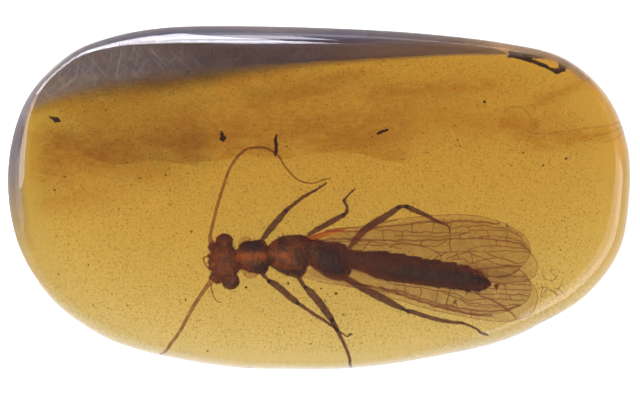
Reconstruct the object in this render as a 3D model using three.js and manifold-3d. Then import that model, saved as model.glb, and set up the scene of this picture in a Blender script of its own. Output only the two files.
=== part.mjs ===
// A polished amber pebble with a fossil stonefly sealed in it, its back up.
// Millimetres, +Z up. The pebble lies on its flat underside, the origin is under its middle, and +X runs
// from the stonefly's head to its wing tips. The clear pebble is parted in two along a plane that climbs a
// little towards +Y, and every inclusion lies in a pocket that crosses that plane.
import * as THREE from "three";
import { mergeVertices } from "three/addons/utils/BufferGeometryUtils.js";
import Module from "manifold-3d";

const wasm = await Module();
wasm.setup();

// Driving dimensions
const LENGTH = 31.1; // of the pebble, along X
const WIDTH = 17.2; // of the pebble, along Y
const MID_THICKNESS = 5.0; // of the pebble, over the origin
const RISE = 0.23; // how much the top climbs for each mm towards +Y
const CROWN = 0.75; // how much lower the top is at the rim than a flat one
const FACET_SLOPE = 48; // of the two ground facets under the thick edge, in degrees
const PARTING = 2.6; // height of the plane between the pebble's two halves, over the origin
const PARTING_RISE = 0.2; // how much that plane climbs for each mm towards +Y
const CLEARANCE = 0.3; // left round each inclusion
const BENDING = 1.54; // how much amber bends light

// The pebble's edge seen from above, counterclockwise from the right
const EDGE = [
  [15.5, -0.05], [15.4, 2.65], [14.35, 5.15], [12.25, 7.0], [9.35, 7.75], [4.85, 8.25], [0.05, 8.5],
  [-4.95, 8.6], [-7.95, 8.5], [-10.45, 8.05], [-12.5, 7.2], [-14.45, 5.25], [-15.4, 2.7], [-15.55, -0.05],
  [-14.95, -2.7], [-13.5, -5.0], [-11.4, -6.65], [-9.0, -7.65], [-4.8, -8.45], [-1.45, -8.6], [1.55, -8.55],
  [4.75, -8.15], [8.7, -7.3], [11.0, -6.35], [13.35, -4.9], [15.0, -2.7],
];

// The rim's rounding: how far in it reaches over the wall in each direction from the middle, as
// [degrees, mm], how high it is there, and how far in and up it reaches under the wall
const OVER = [
  [0, 1.2], [40, 0.7], [60, 0.6], [78, 0.9], [90, 1.1], [104, 1.2], [116, 0.95], [127, 0.6], [140, 0.45],
  [152, 0.65], [165, 1.0], [185, 1.1], [205, 1.1], [228, 1.0], [250, 0.6], [280, 0.5], [300, 0.9], [330, 1.2],
];
const OVER_RISE = 1.1;
const UNDER = 0.45;
const UNDER_RISE = 0.4;

// Where the ground facets start: x and y of a point on the line, and the line's heading in degrees
const FACETS = [[-8.0, 6.2, 5.0], [4.0, 6.9, 1.5]];

// The places of all inclusions are where they show from above, through the curved top.
// The stonefly's body from its lip to its tail: x and y of its axis, half width and half height
const BODY = [
  [-5.45, -3.1, 0.3, 0.22], [-5.15, -3.1, 0.7, 0.42], [-4.7, -3.12, 0.98, 0.55], [-4.3, -3.1, 0.9, 0.52],
  [-4.1, -3.0, 0.5, 0.42], [-3.9, -2.95, 0.82, 0.52], [-3.45, -2.92, 1.02, 0.6], [-2.95, -2.92, 0.92, 0.66],
  [-2.65, -2.95, 0.62, 0.6], [-2.5, -2.95, 0.45, 0.6], [-2.3, -2.8, 0.72, 0.72], [-1.9, -2.8, 0.95, 0.88],
  [-1.35, -2.85, 1.05, 0.95], [-0.85, -2.85, 1.06, 0.95], [-0.55, -2.85, 0.84, 0.85],
  [-0.3, -2.92, 0.74, 0.8],
  [0.1, -2.98, 0.9, 0.85], [0.8, -3.08, 0.94, 0.85], [1.3, -3.15, 0.84, 0.78], [1.6, -3.08, 0.52, 0.6],
  [2.15, -3.15, 0.56, 0.58], [3.25, -3.38, 0.7, 0.58], [4.15, -3.5, 0.72, 0.58], [5.05, -3.65, 0.7, 0.56],
  [6.05, -3.8, 0.66, 0.52], [6.9, -3.95, 0.62, 0.48], [7.7, -4.08, 0.6, 0.42], [8.15, -4.18, 0.48, 0.34],
  [8.5, -4.2, 0.24, 0.2], [8.65, -4.22, 0.08, 0.08],
];
const AXIS_HEIGHT = 2.4; // of the body's axis over the ground, at x = 0
const BODY_FALL = 0.03; // how much the axis drops for each mm towards the tail
const EYES = [[-4.75, -2.1], [-4.4, -4.15]];
const EYE = [0.42, 0.4, 0.44]; // half sizes

// Legs and antennae from the body out: x, y and radius
const LEGS = {
  upper_front: [
    [-2.85, -2.55, 0.16], [-2.6, -1.95, 0.12], [-2.0, -1.15, 0.16], [-1.55, -0.55, 0.1], [-0.85, 0.05, 0.07],
    [-0.25, 0.38, 0.06], [0.4, 0.82, 0.045],
  ],
  upper_middle: [
    [-0.95, -2.45, 0.18], [-0.4, -1.75, 0.12], [0.5, -1.22, 0.14], [1.3, -0.8, 0.1], [1.45, -0.5, 0.1],
    [1.28, -0.05, 0.07], [1.7, 0.48, 0.045],
  ],
  upper_hind: [
    [1.05, -3.15, 0.18], [1.65, -2.4, 0.16], [2.85, -1.15, 0.17], [3.85, -0.52, 0.12], [4.45, -0.45, 0.12],
    [5.1, -0.75, 0.12], [5.85, -1.02, 0.07], [6.55, -1.42, 0.05],
  ],
  lower_front: [
    [-3.05, -3.25, 0.16], [-2.55, -3.98, 0.1], [-1.7, -4.62, 0.15], [-1.05, -5.2, 0.09],
    [-0.15, -5.85, 0.065], [0.7, -6.42, 0.055], [1.45, -6.88, 0.045], [1.7, -6.78, 0.04],
  ],
  lower_middle: [
    [-1.05, -3.25, 0.18], [-0.8, -4.15, 0.11], [-0.05, -5.12, 0.18], [0.68, -6.1, 0.12], [1.05, -6.75, 0.08],
    [1.42, -7.75, 0.07], [1.55, -8.1, 0.07],
  ],
  lower_hind: [
    [0.95, -3.45, 0.18], [1.75, -4.2, 0.17], [2.85, -4.82, 0.19], [4.2, -5.55, 0.1], [4.95, -5.8, 0.11],
    [6.25, -6.1, 0.08], [7.25, -6.22, 0.06], [8.4, -6.68, 0.04],
  ],
};
const ANTENNAE = {
  upper: [
    [-5.05, -2.8, 0.14], [-5.42, -2.1, 0.12], [-5.3, -1.15, 0.1], [-4.75, 0.55, 0.09], [-4.2, 2.08, 0.08],
    [-3.35, 2.58, 0.075], [-2.65, 2.5, 0.07], [-1.75, 1.75, 0.065], [-1.1, 1.0, 0.06], [-0.35, 0.8, 0.055],
    [0.6, 1.02, 0.045],
  ],
  lower: [
    [-4.85, -3.4, 0.14], [-5.35, -4.0, 0.12], [-5.95, -4.9, 0.11], [-6.8, -6.2, 0.1], [-7.6, -7.45, 0.09],
  ],
};
const LIMB_LEVEL = 0.47; // share of the pebble's height that legs lie at
const ANTENNA_LIFT = 0.2; // of the antennae over the legs

// Wings from the root along the front edge, with the height of the plate over the ground at x = 0
const WINGS = [
  {
    height: 3.1,
    outline: [
      [-1.05, -2.05], [-0.35, -1.75], [1.3, -1.5], [3.3, -1.15], [5.65, -0.82], [7.55, -0.8], [9.35, -1.2],
      [10.35, -1.95], [10.62, -2.7], [10.25, -3.3], [9.45, -3.85], [7.55, -3.65], [4.05, -3.25],
      [0.55, -3.15], [-0.95, -2.95],
    ],
  },
  {
    height: 2.9,
    outline: [
      [-0.45, -2.05], [1.3, -1.65], [4.05, -1.15], [6.8, -1.0], [9.3, -1.45], [10.6, -2.45], [10.92, -3.25],
      [10.6, -4.0], [9.65, -4.2], [7.05, -4.05], [3.55, -3.65], [0.55, -3.35], [-0.55, -2.85],
    ],
  },
  {
    height: 3.0,
    outline: [
      [-1.05, -3.75], [-0.65, -4.0], [0.55, -4.18], [2.8, -4.55], [4.55, -5.0], [6.35, -5.48], [7.95, -5.8],
      [9.5, -5.6], [10.4, -5.05], [10.62, -4.4], [10.15, -3.6], [9.05, -3.15], [6.55, -3.1], [3.05, -3.12],
      [0.05, -3.15], [-1.05, -3.25],
    ],
  },
  {
    height: 2.8,
    outline: [
      [-0.55, -3.65], [0.55, -4.1], [2.55, -4.6], [4.3, -5.12], [6.55, -5.65], [8.9, -6.1], [10.25, -5.85],
      [10.95, -5.1], [10.85, -4.55], [10.05, -3.75], [7.55, -3.45], [4.05, -3.25], [0.55, -3.22],
      [-0.65, -3.25],
    ],
  },
];
const WING_THICKNESS = 0.12;
const WING_FALL = 0.06; // how much the wings drop for each mm towards their tips

// A plant fragment near the upper right edge and dark splinters: x, y and radius again
const FRAGMENTS = {
  plant_fragment: [
    [9.4, 7.07, 0.08], [9.74, 7.13, 0.19], [10.0, 7.05, 0.14], [10.57, 6.86, 0.17], [11.05, 6.68, 0.16],
    [11.55, 6.45, 0.13], [11.82, 6.35, 0.22], [12.13, 6.45, 0.12], [12.4, 6.38, 0.05],
  ],
  splinter_left: [[-13.4, 4.07, 0.05], [-13.2, 4.0, 0.1], [-13.05, 3.93, 0.12], [-12.88, 3.86, 0.05]],
  splinter_wedge: [[-4.85, 3.33, 0.05], [-4.82, 3.15, 0.1], [-4.78, 3.0, 0.16], [-4.75, 2.87, 0.06]],
  splinter_rod: [[-2.12, 3.18, 0.06], [-2.17, 2.9, 0.08], [-2.12, 2.6, 0.09], [-2.17, 2.23, 0.08]],
  splinter_right: [[2.92, 3.26, 0.06], [3.13, 3.33, 0.09], [3.38, 3.43, 0.06]],
};

const AMBER = new THREE.MeshStandardMaterial({
  color: 0xc88f38, roughness: 0.05, metalness: 0, transparent: true, opacity: 0.45,
});
const CUTICLE = new THREE.MeshStandardMaterial({ color: 0x4a2c20, roughness: 0.55, metalness: 0 });
const PLANT = new THREE.MeshStandardMaterial({ color: 0x33221a, roughness: 0.8, metalness: 0 });

const quarterTurn = Math.PI / 2;

// A smooth closed curve through [x, y] points on the ground.
function loop(outline) {
  const points = outline.map(([x, y]) => new THREE.Vector3(x, y, 0));
  return new THREE.CatmullRomCurve3(points, true, "catmullrom", 0.5);
}

// A ring of points along a closed curve, moved out across it.
function ringAlong(curve, count, outward = 0) {
  const points = Array.from({ length: count }, (_, i) => curve.getPoint(i / count));
  const side = THREE.ShapeUtils.isClockWise(points) ? 1 : -1;
  return points.map((point, i) => {
    const along = curve.getTangent(i / count);
    return point.addScaledVector(new THREE.Vector3(-along.y, along.x, 0), side * outward);
  });
}

// The value in a direction, from a list of [degrees, value] that goes all the way round, joined smoothly.
function around(list, degrees) {
  const turned = ((degrees % 360) + 360) % 360;
  const later = list.findIndex(([start]) => start > turned);
  const next = later < 0 ? list.length : later;
  const [p, a, b, q] = [next - 2, next - 1, next, next + 1].map((i) => {
    const [start, value] = list[(i + list.length) % list.length];
    return { at: start + 360 * Math.floor(i / list.length), value };
  });
  const span = b.at - a.at;
  const t = (turned - a.at) / span;
  const leaving = ((b.value - p.value) / (b.at - p.at)) * span;
  const arriving = ((q.value - a.value) / (q.at - a.at)) * span;
  const blend = t * t * (3 - 2 * t);
  return a.value * (1 - blend) + b.value * blend + leaving * t * (1 - t) ** 2 - arriving * t * t * (1 - t);
}

// 0 in the middle of the pebble and about 1 at its edge.
const outwardShare = (x, y) => (x / (LENGTH / 2)) ** 2 + (y / (WIDTH / 2)) ** 2;

// Height of the pebble's top over a point: a tilted plane that sinks towards the rim.
const topHeight = (x, y) => MID_THICKNESS + RISE * y - CROWN * outwardShare(x, y) ** 2;

// Height of the pebble's underside over a point: flat, but for the ground facets.
function bottomHeight(x, y) {
  const steepness = Math.tan(THREE.MathUtils.degToRad(FACET_SLOPE));
  const facetHeights = FACETS.map(([facetX, facetY, degrees]) => {
    const heading = THREE.MathUtils.degToRad(degrees);
    return ((y - facetY) * Math.cos(heading) - (x - facetX) * Math.sin(heading)) * steepness;
  });
  return Math.max(0, ...facetHeights);
}

const partingHeight = (y) => PARTING + PARTING_RISE * y;

// The place at a height that shows at x, y from straight above, where the curved top bends the view.
function shownAt(x, y, height) {
  const fall = 4 * CROWN * outwardShare(x, y);
  const slopeAlong = (-fall * x) / (LENGTH / 2) ** 2;
  const slopeAcross = RISE - (fall * y) / (WIDTH / 2) ** 2;
  const slope = new THREE.Vector3(slopeAlong, slopeAcross, 0);
  const tilt = Math.atan(slope.length());
  const bent = tilt - Math.asin(Math.sin(tilt) / BENDING);
  const away = slope.setLength(Math.tan(bent) * (topHeight(x, y) - height));
  return new THREE.Vector3(x, y, height).add(away);
}

// Joins rings of points, each counterclockwise seen from the last one, into one closed surface.
function skin(rings, firstPole, lastPole) {
  const count = rings[0].length;
  const points = [...rings.flat(), firstPole, lastPole];
  const [first, last] = [points.length - 2, points.length - 1];
  const lastRing = (rings.length - 1) * count;
  const faces = [];
  for (let i = 0; i < count; i++) {
    const j = (i + 1) % count;
    faces.push(first, j, i, last, lastRing + i, lastRing + j);
    for (let ring = 0; ring < lastRing; ring += count) {
      const above = ring + count;
      faces.push(ring + i, ring + j, above + j, ring + i, above + j, above + i);
    }
  }
  return new THREE.BufferGeometry().setFromPoints(points).setIndex(faces);
}

const middleOf = (ring) => ring.reduce((sum, p) => sum.add(p), new THREE.Vector3()).divideScalar(ring.length);

// The pebble's edge as a ring of points that fills LENGTH by WIDTH and has the origin at its middle.
function edgeRing(count) {
  const ring = ringAlong(loop(EDGE), count);
  const box = new THREE.Box3().setFromPoints(ring);
  const [size, centre] = [box.getSize(new THREE.Vector3()), box.getCenter(new THREE.Vector3())];
  return ring.map((p) => p.sub(centre).multiply(new THREE.Vector3(LENGTH / size.x, WIDTH / size.y, 1)));
}

// One upright section of the pebble, out across its underside, up round the rim and in across the top.
function pebbleSection(edge, inward, steps) {
  const direction = THREE.MathUtils.radToDeg(Math.atan2(edge.y / WIDTH, edge.x / LENGTH));
  const over = around(OVER, direction);
  const insetBy = (inset) => edge.clone().addScaledVector(inward, inset);
  const points = [];
  for (const share of [0.6, 0.72, 0.8, 0.9]) {
    const point = insetBy(UNDER).multiplyScalar(share);
    points.push(point.setZ(bottomHeight(point.x, point.y)));
  }
  for (let k = 0; k < steps; k++) {
    const turn = (quarterTurn * k) / (steps - 1);
    const point = insetBy(UNDER * (1 - Math.sin(turn)));
    points.push(point.setZ(bottomHeight(point.x, point.y) + UNDER_RISE * (1 - Math.cos(turn))));
  }
  for (let k = 0; k <= steps; k++) {
    const turn = (quarterTurn * k) / steps;
    const point = insetBy(over * (1 - Math.cos(turn)));
    points.push(point.setZ(topHeight(point.x, point.y) - OVER_RISE * (1 - Math.sin(turn))));
  }
  const rim = points[points.length - 1];
  for (const share of [0.9, 0.72, 0.4]) {
    points.push(new THREE.Vector3(rim.x * share, rim.y * share, topHeight(rim.x * share, rim.y * share)));
  }
  return points;
}

function pebbleGeometry(segments = 60, steps = 3) {
  const ring = edgeRing(segments);
  const sections = ring.map((edge, i) => {
    const before = ring[(i - 1 + segments) % segments];
    const along = ring[(i + 1) % segments].clone().sub(before).normalize();
    return pebbleSection(edge, new THREE.Vector3(-along.y, along.x, 0), steps);
  });
  const rings = sections[0].map((_, k) => sections.map((points) => points[k]));
  return skin(rings, new THREE.Vector3(0, 0, 0), new THREE.Vector3(0, 0, topHeight(0, 0)));
}

// A closed skin round stations of { centre, halfWidth, halfHeight }. With grow above 0 it is that much bigger
// all round and reaches across the parting plane, so that it serves as the pocket.
function limb(stations, sides, grow = 0) {
  const rings = stations.map(({ centre, halfWidth, halfHeight }, i) => {
    const before = stations[Math.max(i - 1, 0)].centre;
    const after = stations[Math.min(i + 1, stations.length - 1)].centre;
    const along = after.clone().sub(before).setZ(0).normalize();
    const side = new THREE.Vector3(-along.y, along.x, 0);
    const reach = grow ? (partingHeight(centre.y) - centre.z) / 2 : 0;
    const end = (i === stations.length - 1) - (i === 0);
    const middle = centre.clone().addScaledVector(along, end * grow);
    return Array.from({ length: sides }, (_, k) => {
      const turn = (2 * Math.PI * (k + 0.5)) / sides;
      const point = middle.clone().addScaledVector(side, (halfWidth + grow) * Math.cos(turn));
      return point.setZ(middle.z + reach + (halfHeight + grow + Math.abs(reach)) * Math.sin(turn));
    });
  });
  return skin(rings, middleOf(rings[0]), middleOf(rings[rings.length - 1]));
}

const axisHeight = (x) => AXIS_HEIGHT - BODY_FALL * x;

const bodyStations = BODY.map(([x, y, halfWidth, halfHeight]) => ({
  centre: shownAt(x, y, axisHeight(x)), halfWidth, halfHeight,
}));

// Round stations at the heights that a function of x and y gives.
function roundStations(list, heightOver) {
  return list.map(([x, y, radius]) => ({
    centre: shownAt(x, y, heightOver(x, y)), halfWidth: radius, halfHeight: radius,
  }));
}

const legStations = (leg) => roundStations(leg, (x, y) => LIMB_LEVEL * topHeight(x, y));

// An antenna's stations, evenly spaced on a smooth curve through the stated ones.
function antennaStations(list, steps) {
  const stated = roundStations(list, (x, y) => LIMB_LEVEL * topHeight(x, y) + ANTENNA_LIFT);
  const curve = new THREE.CatmullRomCurve3(stated.map(({ centre }) => centre), false, "catmullrom", 0.5);
  return Array.from({ length: steps + 1 }, (_, i) => {
    const place = (i / steps) * (list.length - 1);
    const k = Math.min(Math.floor(place), list.length - 2);
    const radius = THREE.MathUtils.lerp(stated[k].halfWidth, stated[k + 1].halfWidth, place - k);
    return { centre: curve.getPoint(i / steps), halfWidth: radius, halfHeight: radius };
  });
}

const fragmentStations = (list) => roundStations(list, (x, y) => partingHeight(y));

// A wing as a thin plate. With grow above 0 it is the plate's pocket, down across the parting plane.
function wingGeometry({ outline, height }, count, grow = 0) {
  const edge = ringAlong(loop(outline), count, grow).map((p) => shownAt(p.x, p.y, height - WING_FALL * p.x));
  if (THREE.ShapeUtils.isClockWise(edge)) edge.reverse();
  const over = WING_THICKNESS / 2 + grow;
  const top = edge.map((p) => p.clone().setZ(p.z + over));
  const bottom = edge.map((p) => p.clone().setZ(grow ? partingHeight(p.y) - grow : p.z - over));
  return skin([bottom, top], middleOf(bottom), middleOf(top));
}

function eyeGeometry([x, y], grow = 0) {
  const eye = new THREE.SphereGeometry(1, 10, 7).rotateX(quarterTurn);
  eye.scale(...EYE.map((half) => half + grow));
  return eye.translate(...shownAt(x, y, axisHeight(x)));
}

// A closed geometry as a solid, and back.
function solid(geometry) {
  const bare = geometry.clone();
  bare.deleteAttribute("normal");
  bare.deleteAttribute("uv");
  const merged = mergeVertices(bare, 1e-4);
  return new wasm.Manifold(
    new wasm.Mesh({
      numProp: 3,
      vertProperties: merged.attributes.position.array,
      triVerts: new Uint32Array(merged.index.array),
    }),
  );
}

function geometryOf(made) {
  const mesh = made.getMesh();
  const geometry = new THREE.BufferGeometry();
  geometry.setAttribute("position", new THREE.BufferAttribute(mesh.vertProperties, 3));
  geometry.setIndex(new THREE.BufferAttribute(mesh.triVerts, 1));
  return geometry;
}

const joined = (geometries) => geometries.map(solid).reduce((sum, piece) => sum.add(piece));

// The stonefly, all of it one solid. With grow above 0 it is the pocket that it lies in.
function stoneflySolid(grow = 0) {
  return joined([
    limb(bodyStations, grow ? 8 : 12, grow),
    ...EYES.map((place) => eyeGeometry(place, grow)),
    ...Object.values(LEGS).map((leg) => limb(legStations(leg), 6, grow)),
    ...Object.values(ANTENNAE).map((antenna) => limb(antennaStations(antenna, grow ? 8 : 18), 6, grow)),
    ...WINGS.map((wing) => wingGeometry(wing, grow ? 22 : 34, grow)),
  ]);
}

const fragmentGeometry = (list, grow = 0) => limb(fragmentStations(list), 6, grow);

// The two halves of the pebble, all of it but the pockets.
function amberHalves() {
  const pockets = joined(Object.values(FRAGMENTS).map((list) => fragmentGeometry(list, CLEARANCE)));
  const clear = solid(pebbleGeometry()).subtract(stoneflySolid(CLEARANCE)).subtract(pockets);
  const across = new THREE.Vector3(0, -PARTING_RISE, 1);
  const [upper, lower] = clear.splitByPlane(across.toArray(), PARTING / across.length());
  return { amber_lower: lower, amber_upper: upper };
}

function meshOf(name, made, material) {
  const mesh = new THREE.Mesh(geometryOf(made), material);
  mesh.name = name;
  return mesh;
}

const specimen = new THREE.Group();
for (const [name, made] of Object.entries(amberHalves())) specimen.add(meshOf(name, made, AMBER));
specimen.add(meshOf("stonefly", stoneflySolid(), CUTICLE));
for (const [name, list] of Object.entries(FRAGMENTS)) {
  specimen.add(meshOf(name, solid(fragmentGeometry(list)), PLANT));
}

export default specimen;
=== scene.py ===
# A fossil stonefly in a polished amber pebble: the finish of every piece, its light table and its camera.
# The scene is in metres. Outlines, stations and the helpers' points are in millimetres, scaled by MM.
import math
import random

import bmesh
import bpy
import numpy as np
from bpy.props import FloatProperty, FloatVectorProperty, IntProperty, PointerProperty
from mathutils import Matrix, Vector, noise


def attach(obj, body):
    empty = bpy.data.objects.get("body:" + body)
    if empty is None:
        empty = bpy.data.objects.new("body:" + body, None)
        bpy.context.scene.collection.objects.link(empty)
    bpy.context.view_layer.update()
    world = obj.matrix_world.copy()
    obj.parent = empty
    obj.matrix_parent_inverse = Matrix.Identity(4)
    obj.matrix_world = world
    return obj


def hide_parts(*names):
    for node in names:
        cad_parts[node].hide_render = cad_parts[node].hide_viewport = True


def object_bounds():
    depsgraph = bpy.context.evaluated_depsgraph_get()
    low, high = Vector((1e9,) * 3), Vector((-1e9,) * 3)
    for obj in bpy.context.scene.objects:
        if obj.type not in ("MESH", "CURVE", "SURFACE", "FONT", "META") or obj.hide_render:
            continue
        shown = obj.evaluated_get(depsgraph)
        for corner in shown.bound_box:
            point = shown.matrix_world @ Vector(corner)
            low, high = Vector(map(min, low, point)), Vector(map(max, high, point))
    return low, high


bl_info = {
    "name": "Stonefly in Amber",
    "version": (1, 0, 0),
    "blender": (4, 5, 0),
    "location": "View3D > Sidebar > Amber",
    "description": "Dresses a packed amber pebble and the stonefly sealed in it",
    "category": "Object",
}

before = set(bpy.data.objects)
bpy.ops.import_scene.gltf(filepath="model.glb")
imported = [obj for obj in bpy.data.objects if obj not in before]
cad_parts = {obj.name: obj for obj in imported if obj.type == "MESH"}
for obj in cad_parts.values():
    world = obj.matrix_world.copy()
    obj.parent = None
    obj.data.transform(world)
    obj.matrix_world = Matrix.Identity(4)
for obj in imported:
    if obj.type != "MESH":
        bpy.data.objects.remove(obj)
cad_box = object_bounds()

MM = 0.001
BODY = "root"

# Seeds the noise that roughens what grew, so that every run gives the same shapes
NOISE_SEED = 5

# Half the pebble's length and width, in mm
HALF_LENGTH = (cad_box[1].x - cad_box[0].x) / 2 / MM
HALF_WIDTH = (cad_box[1].y - cad_box[0].y) / 2 / MM

# The pebble, as in the part: its edge from above, and how far in its rim is rounded, by direction in degrees
EDGE = [
    (15.5, -0.05), (15.4, 2.65), (14.35, 5.15), (12.25, 7.0), (9.35, 7.75), (4.85, 8.25), (0.05, 8.5),
    (-4.95, 8.6), (-7.95, 8.5), (-10.45, 8.05), (-12.5, 7.2), (-14.45, 5.25), (-15.4, 2.7), (-15.55, -0.05),
    (-14.95, -2.7), (-13.5, -5.0), (-11.4, -6.65), (-9.0, -7.65), (-4.8, -8.45), (-1.45, -8.6),
    (1.55, -8.55), (4.75, -8.15), (8.7, -7.3), (11.0, -6.35), (13.35, -4.9), (15.0, -2.7),
]
OVER = [
    (0, 1.2), (40, 0.7), (60, 0.6), (78, 0.9), (90, 1.1), (104, 1.2), (116, 0.95), (127, 0.6), (140, 0.45),
    (152, 0.65), (165, 1.0), (185, 1.1), (205, 1.1), (228, 1.0), (250, 0.6), (280, 0.5), (300, 0.9),
    (330, 1.2),
]

# How high the rim's rounding is at the top, and how far in and how high it is at the bottom
OVER_RISE = 1.1
UNDER = 0.45
UNDER_RISE = 0.4

# The two ground facets: a point and the heading of the line where each starts, their slope in degrees, how
# softly they start and how matt they are
FACETS = [((-8.0, 6.2), 5.0), ((4.0, 6.9), 1.5)]
FACET_SLOPE = 48.0
FACET_SOFTNESS = 0.25
FACET_ROUGHNESS = 0.17

# Thickness in the middle, how fast it grows with y, and how far the top falls from the middle to the edge
MID_THICKNESS = 5.0
RISE = 0.23
CROWN = 0.75

# How many rows of faces cross the top and the underside for each one in the rim, and how they crowd there
ACROSS = 3
CROWDING = 0.6

# How the amber bends light, and the heights over the ground of the stonefly's axis, of its limbs, as a share
# of the pebble's thickness, and of what floats loose
BENDING = 1.54
AXIS_HEIGHT = 2.4
AXIS_FALL = 0.03
LIMB_LEVEL = 0.47
ANTENNA_LIFT = 0.2
LEVEL = 2.6
LEVEL_RISE = 0.2

# The stonefly's body: x, its upper and lower edges as seen, and half its height
HEAD = [
    (-5.48, -2.85, -3.45, 0.14), (-5.35, -2.53, -3.65, 0.3), (-5.15, -2.33, -3.9, 0.42),
    (-4.9, -2.23, -4.1, 0.5), (-4.6, -2.23, -4.15, 0.52), (-4.35, -2.35, -4.05, 0.5),
    (-4.15, -2.6, -3.8, 0.42), (-3.98, -2.75, -3.55, 0.3),
]
PRONOTUM = [
    (-4.12, -2.6, -3.25, 0.3), (-4, -2.38, -3.4, 0.42), (-3.85, -2.2, -3.53, 0.5), (-3.6, -2.1, -3.6, 0.58),
    (-3.3, -2.07, -3.68, 0.62), (-3, -2.05, -3.75, 0.64), (-2.75, -2.1, -3.75, 0.6),
    (-2.6, -2.3, -3.6, 0.5), (-2.48, -2.6, -3.25, 0.4),
]
PTEROTHORAX = [
    (-2.65, -2.6, -3.05, 0.4), (-2.55, -2.38, -3.18, 0.55), (-2.4, -2.2, -3.35, 0.7),
    (-2.15, -2.05, -3.53, 0.82), (-1.93, -1.89, -3.65, 0.9), (-1.7, -1.83, -3.78, 0.95),
    (-1.35, -1.8, -3.88, 0.95), (-1, -1.79, -3.91, 0.9), (-0.75, -1.83, -3.78, 0.84),
    (-0.6, -1.9, -3.43, 0.78), (-0.4, -2.05, -3.2, 0.7), (-0.2, -2.35, -2.95, 0.6),
]
METATHORAX = [
    (-0.65, -2.25, -3.05, 0.6), (-0.4, -2.08, -3.35, 0.72), (-0.1, -2.02, -3.58, 0.8),
    (0.25, -2.12, -3.83, 0.8), (0.6, -2.15, -3.98, 0.78), (1, -2.19, -4.08, 0.72),
    (1.25, -2.25, -4.08, 0.62), (1.45, -2.45, -3.88, 0.5), (1.62, -2.75, -3.6, 0.3),
]
ABDOMEN = [
    (1.2, -2.45, -3.5, 0.5), (1.55, -2.55, -3.48, 0.56), (2.15, -2.6, -3.6, 0.58),
    (2.2, -2.66, -3.65, 0.57), (2.75, -2.6, -3.92, 0.6), (3.48, -2.62, -4.12, 0.6),
    (3.53, -2.71, -4.07, 0.58), (4.25, -2.73, -4.21, 0.6), (4.3, -2.84, -4.17, 0.57),
    (5.12, -2.9, -4.33, 0.58), (5.18, -3.02, -4.3, 0.55), (6.05, -3.05, -4.45, 0.56),
    (6.1, -3.15, -4.41, 0.53), (6.83, -3.17, -4.55, 0.53), (6.88, -3.28, -4.51, 0.5),
    (7.55, -3.33, -4.66, 0.48), (7.6, -3.45, -4.61, 0.44), (8.05, -3.58, -4.64, 0.4),
    (8.1, -3.68, -4.57, 0.36), (8.38, -3.9, -4.49, 0.26), (8.6, -4.22, -4.32, 0.1),
]

# How square the body's sections are: 1 is round, and less is squarer
SQUARENESS = 0.85

# The eyes: x, y, half length and half width, and the lumps on the head: x, y and radius
EYES = [(-4.73, -2.11, 0.43, 0.38), (-4.42, -4.1, 0.45, 0.42)]
EYE_HALF_HEIGHT = 0.4
LUMPS = [
    (-5.3, -2.38, 0.2), (-5.15, -2.5, 0.26), (-5.25, -3.9, 0.19), (-5.05, -4, 0.24), (-5.38, -3.15, 0.16),
    (-5.38, -3.45, 0.13), (-5.43, -2.85, 0.12),
]

# How far the lumps, and the eyes and flanges, lie over the stonefly's axis
LUMP_LIFT = 0.05
SOFT_LIFT = 0.1

# The see-through flanges on both sides of the pronotum
FLANGES = [
    [
        (-4.05, -2.35), (-3.97, -2.05), (-3.8, -1.89), (-3.55, -1.88), (-3.35, -2.02), (-3.55, -2.23),
        (-3.85, -2.33),
    ],
    [
        (-3.95, -3.45), (-3.8, -3.78), (-3.55, -3.96), (-3.28, -3.96), (-3.07, -3.82), (-3.05, -3.6),
        (-3.45, -3.6),
    ],
]

# How orange the back is in front, and from which x to which it gets darker, and how much
FRONT_TONE = 0.45
TONE_FALLS = [(-1.6, -0.4, 0.22), (-0.3, 0.3, 0.33)]

# Where the body is darker or more orange: x, y, the patch's half length and half width, and how much
PATCHES = [
    (-3.4, -2.38, 0.55, 0.3, -0.4), (-3.05, -2.45, 0.3, 0.3, -0.3), (-2.95, -3.45, 0.42, 0.32, -0.42),
    (-2.65, -3.55, 0.15, 0.15, -0.2), (-4.4, -4.3, 0.3, 0.26, -0.25), (-4.7, -2.15, 0.16, 0.2, -0.12),
    (-3.45, -2.93, 0.75, 0.22, 0.34), (-2.8, -2.9, 0.2, 0.16, 0.3), (-2.7, -2.25, 0.1, 0.16, 0.4),
    (-3.7, -3.45, 0.35, 0.2, 0.04), (-1.83, -2.27, 0.3, 0.3, -0.35), (-2.3, -2.25, 0.2, 0.12, 0.2),
    (-2.1, -2.23, 0.06, 0.16, 0.3), (-2.35, -3.15, 0.2, 0.15, -0.3), (-2.12, -3.18, 0.08, 0.14, 0.3),
    (-1.75, -2.9, 0.36, 0.14, 0.32), (-1.38, -2.8, 0.07, 0.1, 0.4), (-1.48, -3.15, 0.05, 0.2, 0.35),
    (-1.55, -3.7, 0.6, 0.14, -0.3), (-0.95, -3.78, 0.4, 0.12, -0.3), (-0.9, -2.05, 0.6, 0.14, 0.05),
    (-0.3, -2.35, 0.08, 0.08, 0.3), (-5.35, -3.35, 0.12, 0.14, 0.35), (-4.55, -3.15, 0.25, 0.2, -0.15),
    (-4.85, -2.65, 0.2, 0.3, 0.05), (-4.3, -3.85, 0.12, 0.12, 0.2), (-4.08, -3, 0.08, 0.3, 0.25),
    (-1.85, -2.55, 0.5, 0.05, -0.2), (-0.95, -2.95, 0.35, 0.4, -0.08),
]

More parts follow.
